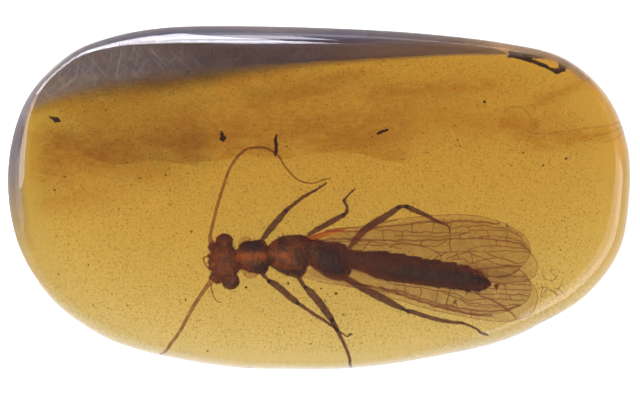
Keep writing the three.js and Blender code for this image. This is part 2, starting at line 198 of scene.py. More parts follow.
# Legs and antennae from the body out, each segment a list of x, y and radius
LEGS = [
    [
        [
            (-2.85, -2.02, 0.1), (-2.7, -1.85, 0.13), (-2.35, -1.4, 0.16), (-1.95, -0.93, 0.15),
            (-1.65, -0.59, 0.12),
        ],
        [
            (-1.65, -0.59, 0.11), (-1.35, -0.33, 0.09), (-0.88, 0.03, 0.085), (-0.55, 0.23, 0.075),
            (-0.21, 0.42, 0.06),
        ],
        [(-0.21, 0.42, 0.05), (0.05, 0.58, 0.055), (0.37, 0.8, 0.045)],
    ],
    [
        [
            (-0.5, -1.78, 0.1), (-0.15, -1.55, 0.13), (0.35, -1.28, 0.14), (0.95, -0.95, 0.13),
            (1.23, -0.81, 0.11),
        ],
        [
            (1.23, -0.81, 0.1), (1.38, -0.65, 0.09), (1.41, -0.45, 0.08), (1.33, -0.25, 0.07),
            (1.23, -0.08, 0.06),
        ],
        [(1.23, -0.08, 0.05), (1.45, 0.18, 0.045), (1.79, 0.5, 0.04)],
    ],
    [
        [
            (1.55, -2.4, 0.12), (1.85, -2, 0.16), (2.3, -1.53, 0.17), (2.8, -1.18, 0.18),
            (3.35, -0.85, 0.17), (3.75, -0.58, 0.14), (3.98, -0.43, 0.12),
        ],
        [(3.98, -0.43, 0.12), (4.15, -0.36, 0.09), (4.4, -0.38, 0.11)],
        [
            (4.4, -0.38, 0.12), (4.7, -0.53, 0.13), (5.25, -0.77, 0.11), (5.65, -0.98, 0.09),
            (6.05, -1.18, 0.075), (6.35, -1.29, 0.06),
        ],
        [(6.35, -1.29, 0.05), (6.48, -1.4, 0.045), (6.53, -1.6, 0.04)],
    ],
    [
        [(-2.85, -3.73, 0.1), (-2.62, -3.98, 0.08), (-2.48, -4.12, 0.1)],
        [
            (-2.48, -4.12, 0.12), (-2.2, -4.28, 0.16), (-1.8, -4.6, 0.16), (-1.4, -4.95, 0.15),
            (-1.08, -5.19, 0.12),
        ],
        [
            (-1.08, -5.19, 0.1), (-0.65, -5.5, 0.08), (-0.15, -5.83, 0.075), (0.35, -6.15, 0.07),
            (0.76, -6.43, 0.06),
        ],
        [(0.76, -6.43, 0.055), (0.95, -6.59, 0.05), (1.14, -6.74, 0.045)],
        [
            (1.14, -6.74, 0.045), (1.3, -6.83, 0.04), (1.45, -6.9, 0.04), (1.55, -6.78, 0.04),
            (1.68, -6.82, 0.03),
        ],
    ],
    [
        [(-1, -3.93, 0.12), (-0.85, -4.2, 0.1), (-0.7, -4.42, 0.1)],
        [
            (-0.7, -4.42, 0.12), (-0.4, -4.7, 0.19), (-0.05, -5.1, 0.18), (0.35, -5.65, 0.18),
            (0.65, -6.08, 0.14),
        ],
        [
            (0.65, -6.08, 0.12), (0.83, -6.4, 0.11), (1.1, -6.95, 0.085), (1.35, -7.5, 0.08),
            (1.5, -7.9, 0.075), (1.64, -8.45, 0.07),
        ],
    ],
    [
        [
            (1.35, -4, 0.14), (1.65, -4.15, 0.17), (2.05, -4.38, 0.17), (2.78, -4.77, 0.19),
            (3.45, -5.12, 0.18), (3.9, -5.35, 0.14), (4.19, -5.49, 0.11),
        ],
        [(4.19, -5.49, 0.07), (4.45, -5.63, 0.09)],
        [
            (4.45, -5.63, 0.1), (4.77, -5.68, 0.12), (5.35, -5.88, 0.11), (6.1, -6.08, 0.1),
            (6.75, -6.18, 0.08), (7.2, -6.21, 0.08),
        ],
        [(7.2, -6.21, 0.06), (7.55, -6.35, 0.05), (7.92, -6.52, 0.045)],
        [(7.92, -6.52, 0.04), (8.1, -6.62, 0.04), (8.42, -6.63, 0.035)],
    ],
]
ANTENNAE = [
    [
        (-5.2, -2.55, 0.13), (-5.3, -2.35, 0.13), (-5.4, -2.1, 0.11), (-5.43, -1.83, 0.075),
        (-5.33, -1.35, 0.07), (-5.09, -0.4, 0.065), (-4.8, 0.56, 0.06), (-4.52, 1.37, 0.06),
        (-4.28, 1.8, 0.055), (-3.95, 2.23, 0.05), (-3.56, 2.5, 0.05), (-3.08, 2.57, 0.045),
        (-2.6, 2.52, 0.045), (-2.27, 2.33, 0.045), (-1.98, 2.1, 0.04), (-1.75, 1.7, 0.04),
        (-1.45, 1.33, 0.04), (-1.12, 1.01, 0.035), (-0.68, 0.82, 0.035), (-0.21, 0.8, 0.03),
        (0.22, 0.97, 0.03), (0.6, 1.03, 0.025),
    ],
    [
        (-5.15, -3.85, 0.13), (-5.35, -4.08, 0.12), (-5.68, -4.47, 0.085), (-6.3, -5.4, 0.08),
        (-6.97, -6.62, 0.07), (-7.45, -7.25, 0.065), (-7.98, -7.75, 0.06),
    ],
]
PALPS = [
    [
        (-5.48, -2.88, 0.05), (-5.65, -2.88, 0.05), (-5.76, -2.95, 0.045), (-5.75, -3.12, 0.04),
        (-5.68, -3.28, 0.04), (-5.55, -3.48, 0.035),
    ],
    [
        (-5.38, -4.25, 0.045), (-5.38, -4.5, 0.04), (-5.3, -4.79, 0.035), (-5.18, -5.03, 0.03),
        (-5.04, -5.14, 0.03), (-4.88, -5.17, 0.025),
    ],
]

# The pieces that bristles stand on, and the bristles on each square metre, their length and their radius
BRISTLED = ("head", "eyes", "pronotum", "thorax", "abdomen", "legs")
BRISTLE_DENSITY = 4.5e7
BRISTLE_LENGTH = 0.22 * MM
BRISTLE_RADIUS = 0.009 * MM
SHORTEST_BRISTLE = 0.35

# Wings: height at x = 0, the outline's points that a margin vein runs between, and the outline
WINGS = [
    (
        3.1, (2, 21),
        [
            (-1.15, -2), (-0.45, -1.88), (0.25, -1.62), (0.88, -1.47), (2.1, -1.37), (3.05, -1.15),
            (4.3, -0.95), (5.95, -0.81), (6.6, -0.78), (7.3, -0.79), (7.98, -0.86), (8.68, -1.03),
            (9.15, -1.18), (9.83, -1.53), (10.25, -1.83), (10.48, -2.18), (10.57, -2.6), (10.48, -2.92),
            (10.2, -3.29), (9.88, -3.57), (9.4, -3.83), (8.05, -3.85), (5.05, -3.65), (1.3, -3.35),
            (-0.95, -3.15),
        ],
    ),
    (
        2.9, (5, 12),
        [
            (-0.55, -1.95), (0.55, -1.75), (3.05, -1.35), (6.05, -1), (8.55, -1.15), (9.8, -1.7),
            (10.35, -2.25), (10.62, -2.73), (10.85, -3.05), (10.94, -3.38), (10.85, -3.7), (10.7, -3.93),
            (10.05, -4.1), (7.55, -4.05), (4.05, -3.75), (0.55, -3.35), (-0.65, -2.95),
        ],
    ),
    (
        3.0, (2, 20),
        [
            (-1.05, -3.75), (-0.65, -3.98), (-0.12, -4.1), (1.3, -4.35), (2.65, -4.55), (4.05, -4.8),
            (4.75, -5.03), (5.45, -5.25), (6.35, -5.53), (7.3, -5.74), (7.98, -5.85), (8.68, -5.78),
            (9.37, -5.63), (9.83, -5.45), (10.3, -5.18), (10.53, -4.85), (10.62, -4.45), (10.53, -4.08),
            (10.3, -3.75), (10, -3.53), (9.05, -3.25), (6.05, -3.15), (3.05, -3.15), (0.05, -3.15),
            (-1.05, -3.25),
        ],
    ),
    (
        2.8, (2, 16),
        [
            (-0.55, -3.65), (0.55, -4.15), (1.95, -4.53), (4.28, -5.14), (4.98, -5.37), (5.65, -5.55),
            (6.83, -5.79), (7.98, -6.02), (8.8, -6.12), (9.37, -6.12), (9.97, -5.96), (10.44, -5.79),
            (10.7, -5.55), (10.9, -5.18), (10.95, -4.85), (10.75, -4.35), (10.05, -3.85), (8.05, -3.45),
            (4.05, -3.25), (0.55, -3.25),
        ],
    ),
]

# How fast the wings come down with x, the height of their veins at x = 0, and the radius of a margin vein
WING_FALL = 0.06
VEIN_HEIGHT = 3.05
MARGIN_RADIUS = 0.02

# The orange skin at the root of the upper wings, and its height
WING_ROOT = [
    (-0.95, -1.88), (-0.35, -1.8), (0.25, -1.63), (0.85, -1.5), (1.35, -1.48), (1.05, -1.65), (0.45, -1.82),
    (-0.15, -2.05), (-0.65, -2.12),
]
ROOT_HEIGHT = 3.2

# The wings' veins, strong ones, fine ones and, from point to point, short ones, and the radius of both kinds
STRONG_VEINS = [
    [
        (-0.35, -1.83), (0.75, -1.62), (2.1, -1.6), (3.05, -1.38), (4.05, -1.28), (5.2, -1.16),
        (6.35, -1.17), (7.05, -1.09), (8.2, -1.14), (9.05, -1.25),
    ],
    [
        (-0.45, -2.1), (0.55, -2.02), (1.73, -1.99), (3.25, -2.09), (4.2, -2.08), (5.45, -2.05), (6.65, -2),
        (7.75, -1.95), (8.68, -2.04), (9.6, -2.15), (10.25, -2.35), (10.55, -2.6),
    ],
    [
        (1.3, -4.1), (2.8, -4.42), (4.05, -4.72), (4.75, -4.95), (5.45, -5.21), (6.35, -5.43), (7.5, -5.71),
        (8.65, -5.82),
    ],
    [
        (3.05, -4.4), (4.05, -4.6), (4.65, -4.8), (5.3, -5.05), (6.35, -5.32), (7.55, -5.54), (8.65, -5.61),
        (9.45, -5.53), (10.1, -5.28),
    ],
    [(7.89, -4.72), (8.45, -4.97), (9.05, -5.25), (9.45, -5.55), (9.88, -5.93)],
    [(8, -3.5), (8.68, -3.44), (9.45, -3.39), (10.1, -3.37)],
]
VEINS = [
    [(0.35, -1.58), (1.3, -1.47), (2.1, -1.42), (3.05, -1.22), (3.85, -1.07)],
    [
        (2.1, -1.5), (3.05, -1.55), (4.05, -1.6), (5.65, -1.67), (7.3, -1.67), (7.55, -1.58), (8.68, -1.55),
        (9.45, -1.6), (10.15, -1.85),
    ],
    [
        (0.05, -2.2), (1.05, -2.13), (2.15, -2.08), (3.25, -2.23), (4.55, -2.29), (5.3, -2.39), (5.8, -2.6),
        (6.35, -2.68), (7.3, -2.64), (8.4, -2.64), (9.15, -2.6), (10.53, -2.65),
    ],
    [(1.85, -2.25), (2.65, -2.3), (3.65, -2.35), (4.15, -2.52)],
    [(3.45, -2.43), (3.95, -2.2), (5.05, -2.3), (5.85, -2.32), (6.35, -2.1)],
    [(3.8, -1.83), (4.95, -1.84), (6.55, -1.85), (7.35, -1.7)],
    [(6.35, -3), (6.8, -2.82), (7.35, -2.68), (7.75, -2.8), (8.15, -2.95), (9.05, -3.28), (10.05, -3.35)],
    [(8.45, -2.73), (8.85, -2.88), (9.23, -2.98), (9.8, -3.2), (10.2, -3.15)],
    [(6.65, -2.98), (7.15, -3.02), (7.65, -3.17), (8.35, -3), (8.85, -2.95)],
    [(7.45, -1.38), (8.3, -1.37), (9.3, -1.45), (9.95, -1.68)],
    [(6.65, -1.45), (7.35, -1.37), (7.5, -1.58)],
    [(7.95, -1.85), (8.75, -1.85), (9.65, -1.98), (10.35, -2.3)],
    [(7.35, -2.65), (7.95, -2.38), (8.65, -2.35), (9.65, -2.4), (10.5, -2.5)],
    [(6.35, -2.67), (5.95, -2.88), (5.55, -3.15)],
    [(7.75, -3.35), (8.15, -3.6), (8.65, -3.88), (9.2, -3.9), (9.75, -3.68), (10.05, -3.5)],
    [(7.05, -3.8), (8.25, -4.05), (9.3, -4.25), (10.55, -4.3)],
    [(8.25, -4.23), (8.9, -4.15), (9.75, -4.18), (10.55, -4.1)],
    [(9.05, -3.9), (9.65, -3.85), (10.4, -3.87)],
    [(6.05, -4.58), (6.6, -4.8), (7.3, -5.08), (7.85, -5.24), (9.05, -5.32), (10.1, -5.28)],
    [(3.45, -4.23), (4.98, -4.4), (5.9, -4.56), (6.6, -4.67), (7.1, -4.87), (7.55, -5.05), (8, -4.98)],
    [(6.9, -4.5), (8.05, -4.73), (9.3, -4.77), (10.5, -4.85)],
    [(7.85, -4.97), (8.95, -5.02), (10.35, -5.08)],
    [(6.65, -5.17), (7.1, -5.06), (7.55, -5.3), (8.45, -5.4), (9.65, -5.45)],
    [(8.55, -4.45), (9.35, -4.53), (10.55, -4.55)],
    [(2.05, -4.25), (3.25, -4.48), (4.25, -4.85), (5.05, -5.12), (6.05, -5.4)],
    [(5.55, -5.33), (6.83, -5.6), (7.95, -5.85), (8.8, -5.93)],
    [(6.53, -1.2), (6.57, -1.55), (6.53, -2.1), (6.59, -2.68)],
    [(7.62, -2.78), (7.68, -2.95), (7.65, -3.15)],
    [(2.55, -2.07), (2.35, -2.35), (2.2, -2.6)],
    [(5.85, -2.65), (6.1, -2.85), (6.05, -3.1)],
]
CROSSVEINS = [
    (3.2, -1.57, 3.23, -2.09), (4.15, -1.62, 4.18, -2.07), (5.1, -2.05, 5.1, -2.3),
    (5.65, -1.66, 5.72, -1.18), (4.65, -1.65, 4.62, -1.23), (7.05, -1.68, 7, -1.97), (8.4, -1.56, 8.45, -2),
    (9.35, -1.58, 9.38, -2.1), (8.85, -2.05, 8.9, -2.35), (6.9, -2.67, 6.93, -2.99),
    (5.05, -5.1, 5.1, -4.41), (5.9, -4.57, 5.83, -5.2), (4.25, -4.4, 4.3, -4.8), (6.8, -5.05, 6.95, -5.38),
    (9.3, -4.25, 9.35, -4.53), (8.65, -4.75, 8.7, -5.01), (6.35, -5.35, 6.45, -5.63),
    (7.55, -5.54, 7.6, -5.93), (9.55, -4.78, 9.6, -5.05),
]
VEIN_RADIUS = (0.05, 0.03)

# Dark lines along the very edge, by direction from the middle in degrees
EDGE_LINES = [(226.8, 233.4), (295.9, 312.3)]

# Threads that hang from the abdomen, and dark spots: x, y and radius
THREADS = [
    [(6.55, -4.5), (6.52, -4.75), (6.42, -5.05), (6.38, -5.3)],
    [(6.85, -4.98), (6.8, -5.18), (6.63, -5.32)],
    [(7.85, -4.55), (7.87, -4.78)],
    [(7.4, -4.6), (7.38, -4.8)],
    [(8.9, -4.4), (8.88, -4.63)],
]
SPOTS = [
    (-6.38, -1.63, 0.06), (-6.68, -5.05, 0.06), (-3.65, -4.42, 0.07), (0.85, -4.73, 0.075),
    (-1.55, -4.22, 0.06), (0.1, -4.48, 0.05), (0.3, -5.1, 0.05), (1.2, -5.8, 0.05), (-0.4, -7.25, 0.045),
    (-5.6, -7.62, 0.05), (-13.22, 0.45, 0.06), (-9.6, -5.33, 0.05), (-11.32, -5.33, 0.045),
    (-13.05, -3.75, 0.045), (-11.55, -3.3, 0.045), (6.92, 2.95, 0.05), (7.04, 2.65, 0.05),
    (10.18, 2.33, 0.05), (11.2, 1.68, 0.055), (9.6, 1.68, 0.045), (-1.62, 2.62, 0.05), (12.1, -2.55, 0.05),
    (9.4, -1.35, 0.06), (9.95, -1.7, 0.045), (8.25, 4.85, 0.08), (12.35, 2.02, 0.07), (-6.5, 6.37, 0.1),
    (-12.7, 1.1, 0.05), (-9.6, 1.8, 0.05), (-8.9, 1.05, 0.045), (-7.65, 1.2, 0.055), (8.88, -4.35, 0.14),
]

# The tangle of fine curls near the wing tips: how many, where from x to x and from y to y, and their steps
CURLS = 11
CURL_PLACES = ((10.9, 12.4), (-5.1, -3.9))
CURL_STEPS = 9
CURL_STEP = 0.07
CURL_TURN = 0.5

# The share of the pebble's length, width and height that the dust is spread through
DUSTY = (0.91, 0.88, 1.0)

# How far a face looks up that dust lies under, and where the dust's floor rises over the facets: y and height
LOOKS_UP = 0.6
DUST_FLOOR = ((5.0, 0.2), (8.6, 4.6))

# Stains where the amber once flowed: how much, patch size, how softly the near edge begins, and in each row
# x and y of the near edge and of the far one
FLOWS = [
    (
        0.95, 3.0, 0.5,
        [
            (-14.75, -1.45, -14.45, 5.15), (-12.95, -1.35, -12.95, 5.95), (-10.45, -0.95, -10.45, 6.55),
            (-7.95, -0.25, -7.95, 6.75), (-5.45, 0.65, -5.45, 6.85),
        ],
    ),
    (
        1.2, 1.2, 0.5,
        [
            (-14.6, 1.95, -14.45, 5.55), (-12.95, 2.55, -12.95, 6.25), (-10.95, 3.25, -10.95, 6.75),
            (-7.95, 4.15, -7.95, 6.95), (-5.45, 4.65, -5.45, 6.95), (-2.95, 4.95, -2.95, 7.05),
            (0.05, 5.35, 0.05, 7.05), (4.05, 5.65, 4.05, 7.05),
        ],
    ),
    (
        1.1, 0.7, 0.03,
        [
            (-13.75, 2.35, -13.75, 3.65), (-12.95, 2.45, -12.95, 3.75), (-11.95, 2.3, -11.95, 3.65),
            (-10.95, 1.9, -10.95, 3.45), (-9.95, 1.7, -9.95, 3.35), (-8.95, 1.8, -8.95, 3.4),
            (-7.95, 1.9, -7.95, 3.45), (-6.7, 1.7, -6.7, 3.35), (-5.55, 1.65, -5.55, 3.35),
        ],
    ),
    (
        1.05, 0.9, 0.03,
        [
            (-8.45, 1.55, -8.45, 3.55), (-6.7, 1.8, -6.7, 3.75), (-4.85, 1.9, -4.85, 3.95),
            (-3.7, 2.15, -3.7, 4.05), (-2.85, 2.05, -2.85, 3.95), (-1.7, 1.95, -1.7, 3.85),
            (-0.95, 2.1, -0.95, 3.95), (0.05, 2.2, 0.05, 3.95), (1.05, 2.35, 1.05, 4.05),
            (2.05, 2.2, 2.05, 3.85), (3.05, 1.95, 3.05, 3.65), (4.05, 1.8, 4.05, 3.45),
            (4.85, 2.05, 4.85, 3.15),
        ],
    ),
    (
        0.9, 1.7, 0.3,
        [
            (-14.45, -1.8, -14.25, 4.45), (-11.45, -1.3, -11.45, 5.15), (-7.95, -0.05, -7.95, 5.75),
            (-4.45, 1.35, -4.45, 6.35), (-0.95, 1.7, -0.95, 6.75), (2.55, 1.45, 2.55, 6.85),
            (6.05, 1.7, 6.05, 6.95), (10.05, 2.45, 10.05, 6.65), (14.05, 2.45, 14.05, 3.95),
        ],
    ),
    (
        0.9, 0.8, 0.1,
        [
            (-3.95, 4.35, -3.95, 5.65), (-2.45, 4.55, -2.45, 5.85), (-0.95, 4.95, -0.95, 6.05),
            (0.55, 5.2, 0.55, 6.35), (1.55, 5.65, 1.55, 6.45),
        ],
    ),
    (
        0.85, 0.26, 0.4,
        [
            (-14.35, 0.15, -14.15, 4.75), (-11.45, 0.45, -11.45, 5.45), (-7.95, 1.05, -7.95, 5.85),
            (-4.45, 1.6, -4.45, 6.15), (-0.95, 1.8, -0.95, 6.45), (2.55, 1.8, 2.55, 6.45),
            (5.55, 2.05, 5.55, 6.45),
        ],
    ),
    (
        1.3, 0.5, 0.5,
        [
            (9.3, 2.35, 9.45, 3.65), (11.05, 2.05, 11.05, 3.65), (12.8, 2.15, 12.8, 3.95),
            (14.65, 2.45, 14.65, 4.05),
        ],
    ),
    (
        1.2, 0.45, 0.5,
        [
            (10.15, 4.25, 9.95, 5.15), (11.45, 4.55, 11.05, 5.45), (12.8, 5.05, 12.15, 5.95),
            (14.05, 5.75, 13.05, 6.65),
        ],
    ),
    (
        1.3, 0.5, 0.5,
        [
            (8.85, 3.35, 8.85, 4.75), (9.45, 2.85, 9.55, 4.95), (10.15, 2.75, 10.25, 4.75),
            (11.05, 3.05, 11.05, 4.25),
        ],
    ),
    (
        1.2, 0.5, 0.5,
        [
            (2.05, 4.45, 2.05, 5.85), (4.05, 4.75, 4.05, 6.05), (6.55, 4.95, 6.55, 6.15),
            (9.05, 5.15, 9.05, 6.25),
        ],
    ),
]

# Height of the first stain, and how far each lies over the last. Stains from beyond LEFT_RIM begin sharply
# there
FLOW_LEVEL = 3.3
FLOW_STEP = 0.12
LEFT_RIM = -14.0
FLOW_ROWS = 40

# Faint lines where the amber flowed, and their height
FLOW_LINES = [
    [(10.25, 3.45), (10.85, 3.25), (12.25, 3.37), (13.75, 3.57), (14.75, 3.62)],
    [(12.95, 3.05), (14.05, 3.2), (14.75, 3.35), (14.55, 2.95), (14.15, 2.8)],
    [(9.2, 4.35), (9.55, 4.57), (10.08, 4.57), (10.4, 4.25), (10.6, 4), (10.85, 3.55)],
]
LINE_LEVEL = 3.4

# The painted shade over the ground facets, a dark film where the slanted underside bends the table's light
# away: x, and the y where it starts, where it is full and where it ends
PAINTED_FACET_SHADE = [
    (-14.3, 4.05, 4.95, 4.75), (-12.95, 4.45, 5.55, 6.35), (-10.95, 4.65, 6, 7.45),
    (-7.95, 4.95, 6.35, 7.85), (-5.95, 5.35, 6.55, 8), (-3.45, 5.95, 6.85, 8.05), (-0.95, 6.35, 7.05, 8),
    (1.55, 6.65, 7.1, 7.95), (4.05, 6.85, 7.15, 7.85), (6.55, 7.03, 7.25, 7.75), (8.55, 7.08, 7.23, 7.55),
    (9.95, 7.1, 7.15, 7.3),
]

# The film over the thick edge, fine scratches over a painted pale haze that stands for the top's reflection:
# x and y of its lower line and of its upper one, and its height
SCRATCH_AND_HAZE_FILM = [
    (-14.75, 3.75, -14.75, 4.45), (-13.95, 4.35, -14.25, 5.35), (-12.95, 4.65, -13.35, 6.35),
    (-10.95, 5.1, -11.55, 7.4), (-9.45, 5.35, -9.45, 7.85), (-5.95, 5.8, -5.95, 7.75),
    (-1.95, 6.35, -1.95, 7.65), (1.05, 6.65, 1.05, 7.7), (4.05, 6.85, 4.05, 7.8), (7.05, 6.95, 7.05, 7.7),
    (10.05, 7, 10.05, 7.3),
]
HAZE_FILM_LIFT = 0.003
FILM_ROWS = 12

# The painted grey shade, for the grey the rim shows where it reflects and bends light, and the brown crust
# round the rim: how dense in each direction from the middle, in degrees
PAINTED_RIM_SHADE = [
    (58, 0.0), (75, 0.55), (90, 0.8), (125, 0.8), (145, 0.85), (165, 0.85), (178, 0.6), (190, 0.25),
    (200, 0.0),
]
RIM_CRUST = [(36, 0.0), (42, 0.8), (58, 0.8), (64, 0.0)]
RIM_DEPTH = 0.03

# The plant fragment and the splinters: x, y and radius along each, and how far they lie over what floats
# loose
FRAGMENT = [
    (9.4, 7.08, 0.05), (9.74, 7.13, 0.14), (9.95, 7.05, 0.1), (10.57, 6.86, 0.09), (11.05, 6.68, 0.08),
    (11.55, 6.45, 0.08), (11.82, 6.35, 0.13), (12.1, 6.37, 0.06), (12.35, 6.35, 0.03),
]
SPLINTERS = {
    "splinter_left": [(-13.4, 4.07, 0.05), (-13.2, 4, 0.1), (-13.05, 3.93, 0.12), (-12.88, 3.86, 0.05)],
    "splinter_wedge": [(-4.85, 3.33, 0.05), (-4.82, 3.15, 0.1), (-4.78, 3, 0.16), (-4.75, 2.87, 0.06)],
    "splinter_rod": [(-2.12, 3.18, 0.06), (-2.17, 2.9, 0.08), (-2.12, 2.6, 0.09), (-2.17, 2.23, 0.08)],
    "splinter_right": [(2.92, 3.25, 0.06), (3.12, 3.33, 0.09), (3.38, 3.43, 0.06)],
}
FRAGMENT_LIFT = 0.25

# Lamps that only make reflections: azimuth and elevation in degrees, width and height, and share of their
# glow
SIDE_LAMPS = [
    (107, 26, 0.25, 0.16, 0.6), (104, 52, 0.14, 0.1, 0.8), (109, 22, 0.2, 0.5, 0.8),
    (137, 16, 0.3, 0.36, 0.8), (176, 35, 0.36, 0.24, 0.3), (122, 2, 1.2, 0.25, 0.16),
    (0, 8, 0.4, 0.36, 0.05), (322, 14, 0.5, 0.4, 0.1), (318, 3, 0.6, 0.26, 0.12), (196, 5, 0.2, 0.36, 0.1),
]
FRONT_WAY = (200, 62)
LAMP_DISTANCE = 0.45

# How a skin is made that light goes straight through
SEE_THROUGH = {"IOR": 1.0, "Transmission_Weight": 1.0}


def number_property(name, description, default, low=0.0, **more):
    return FloatProperty(name=name, description=description, default=default, min=low, **more)


def color_property(name, description, default):
    return FloatVectorProperty(
        name=name, description=description, default=default, subtype="COLOR", min=0.0, max=1.0
    )


class PebbleProperties(bpy.types.PropertyGroup):
    absorption: color_property(
        "Absorption tint", "Colour that the amber lets through best", (0.872, 0.712, 0.055))
    density: number_property("Absorption density", "How strongly each metre of amber absorbs", 700.0)
    tint: color_property("Tint", "What the amber lets through whatever its depth", (0.73, 0.765, 1.0))
    ior: number_property("IOR", "Index of refraction of amber", BENDING, low=1.0)
    segments: IntProperty(name="Segments", description="Steps round the pebble's edge", default=480, min=24)
    steps: IntProperty(name="Rim steps", description="Steps in each quarter of the rim", default=20, min=3)


class CuticleProperties(bpy.types.PropertyGroup):
    dark: color_property("Dark", "Colour of the darkest plates", (0.068, 0.02, 0.055))
    brown: color_property("Brown", "Colour of most of the body", (0.23, 0.07, 0.036))
    orange: color_property("Orange", "Colour of the soft skin between the plates", (0.8, 0.2, 0.05))
    wing_alpha: number_property("Wing alpha", "How much each wing hides", 0.225, max=1.0, subtype="FACTOR")


class DustProperties(bpy.types.PropertyGroup):
    density: number_property("Density", "Grains for each square metre of the pebble's top", 2.4e7)
    size: number_property("Size", "Radius of the biggest grains", 0.037 * MM, unit="LENGTH")
    seed: IntProperty(name="Seed", description="Changes where the grains lie", default=4)


class StageProperties(bpy.types.PropertyGroup):
    view_width: number_property(
        "View width", "Width that the picture shows at the girdle", 32 * MM, unit="LENGTH")
    lens: number_property("Lens", "Focal length in mm of film", 300.0)
    table_glow: number_property("Table glow", "Light straight up from the table", 1.03)
    table_spread: number_property(
        "Table spread", "Angle that the table's light fans out over", math.radians(160), subtype="ANGLE"
    )
    side_glow: number_property("Side glow", "Brightness of the side lamps", 16.0)
    front_glow: number_property("Front glow", "Brightness of the lamp above", 6.0)


def around(table, degrees):
    """The value in a direction, from (degrees, value) pairs that go all the way round, joined smoothly."""
    turned = degrees % 360
    following = next((i for i, (start, _) in enumerate(table) if start > turned), len(table))

    def entry(i):
        start, value = table[i % len(table)]
        return start + 360 * (i // len(table)), value

    (p_at, p), (a_at, a), (b_at, b), (q_at, q) = [entry(following + k) for k in (-2, -1, 0, 1)]
    span = b_at - a_at
    t = (turned - a_at) / span
    leaving = (b - p) / (b_at - p_at) * span
    arriving = (q - a) / (q_at - a_at) * span
    blend = t * t * (3 - 2 * t)
    return a * (1 - blend) + b * blend + leaving * t * (1 - t) ** 2 - arriving * t * t * (1 - t)


def catmull_rom(p0, p1, p2, p3, t):
    """A point between p1 and p2 of a smooth curve through all four."""
    straight = 2 * p1 + (p2 - p0) * t
    square = (2 * p0 - 5 * p1 + 4 * p2 - p3) * t * t
    cube = (3 * p1 - p0 - 3 * p2 + p3) * t**3
    return 0.5 * (straight + square + cube)


def smooth(points, count, closed=False):
    """count points, evenly spaced in the list's own steps, on a smooth curve through the list."""
    points = np.asarray(points, float)
    spans = len(points) if closed else len(points) - 1
    made = []
    for i in range(count):
        place = i * spans / (count if closed else count - 1)
        k = min(int(place), spans - 1)
        if closed:
            near = [points[(k + j) % len(points)] for j in (-1, 0, 1, 2)]
        else:
            first = points[k - 1] if k else 2 * points[0] - points[1]
            last = points[k + 2] if k + 2 < len(points) else 2 * points[-1] - points[-2]
            near = [first, points[k], points[k + 1], last]
        made.append(catmull_rom(*near, place - k))
    return np.array(made)


def smooth_step(low, high, value):
    """0 below low and 1 above high, with a soft ramp between them."""
    t = min(max((value - low) / (high - low), 0.0), 1.0)
    return t * t * (3 - 2 * t)


def plug(node, **inputs):
    """A node with its inputs set to values, or linked to sockets or to the first output of other nodes."""
    for name, value in inputs.items():
        key = int(name[1:]) if name[0] == "_" else name.replace("_", " ")
        if isinstance(value, bpy.types.Node):
            value = value.outputs[0]
        if isinstance(value, bpy.types.NodeSocket):
            node.id_data.links.new(value, node.inputs[key])
        else:
            node.inputs[key].default_value = value
    return node


def add_node(tree, kind, option=None, choice=None, **inputs):
    """A new node with its inputs plugged, and one of its options chosen."""
    node = tree.nodes.new(kind)
    if option:
        setattr(node, option, choice)
    return plug(node, **inputs)


def principled(name, color, roughness, **inputs):
    """A material with one Principled shader, its tree and that shader."""
    material = bpy.data.materials.new(name)
    material.use_nodes = True
    tree = material.node_tree
    shader = plug(tree.nodes["Principled BSDF"], Base_Color=(*color, 1.0), Roughness=roughness, **inputs)
    return material, tree, shader


def calculated(tree, operation, *values):
    """The result of a Math node."""
    inputs = {f"_{i}": value for i, value in enumerate(values)}
    return add_node(tree, "ShaderNodeMath", "operation", operation, **inputs)


def mapped(tree, value, low, high, new_low=0.0, new_high=1.0):
    """A value brought from one range into another."""
    return add_node(tree, "ShaderNodeMapRange", _0=value, _1=low, _2=high, _3=new_low, _4=new_high)


def random_number(tree, low, high, seed=0):
    """A number between low and high, another one for each point."""
    node = add_node(tree, "FunctionNodeRandomValue", "data_type", "FLOAT", _2=low, _3=high, Seed=seed)
    return node.outputs[1]


def attribute(tree, name):
    """The number stored under a name for each vertex of a piece."""
    return add_node(tree, "ShaderNodeAttribute", "attribute_name", name).outputs["Fac"]


def object_place(tree):
    return tree.nodes.new("ShaderNodeTexCoord").outputs["Object"]


def grain(tree, size, detail=4.0, stretch=1.0):
    """Noise whose features are about size mm across, and longer along X by the stretch."""
    place = add_node(tree, "ShaderNodeMapping", Vector=object_place(tree), Scale=(1 / stretch, 1.0, 1.0))
    return add_node(
        tree, "ShaderNodeTexNoise", Vector=place, Scale=1 / (size * MM), Detail=detail, Roughness=0.6
    )


def ramp(tree, value, stops):
    """Colours along a value."""
    node = add_node(tree, "ShaderNodeValToRGB", Fac=value)
    elements = node.color_ramp.elements
    while len(elements) < len(stops):
        elements.new(0.5)
    for element, (place, color) in zip(elements, stops):
        element.position = place
        element.color = (*color, 1.0)
    return node


def new_piece(name, points, faces, material, unit=MM):
    """A smooth piece from points in mm, or in another unit."""
    mesh = bpy.data.meshes.new(name)
    mesh.from_pydata([tuple(np.array(point) * unit) for point in points], [], faces)
    mesh.shade_smooth()
    mesh.materials.append(material)
    piece = bpy.data.objects.new(name, mesh)
    bpy.context.scene.collection.objects.link(piece)
    return piece


def outward(piece):
    """Turns every face of a closed piece outwards."""
    made = bmesh.new()
    made.from_mesh(piece.data)
    bmesh.ops.recalc_face_normals(made, faces=made.faces)
    made.to_mesh(piece.data)
    made.free()


def bare(name):
    """Vertices, in metres, and faces of a piece already made."""
    mesh = bpy.data.objects[name].data
    return [vertex.co.copy() for vertex in mesh.vertices], [tuple(face.vertices) for face in mesh.polygons]


def tag(piece, name, values):
    """Stores a number for each vertex of a piece."""
    stored = piece.data.attributes.new(name, "FLOAT", "POINT")
    stored.data.foreach_set("value", np.asarray(values, np.float32))


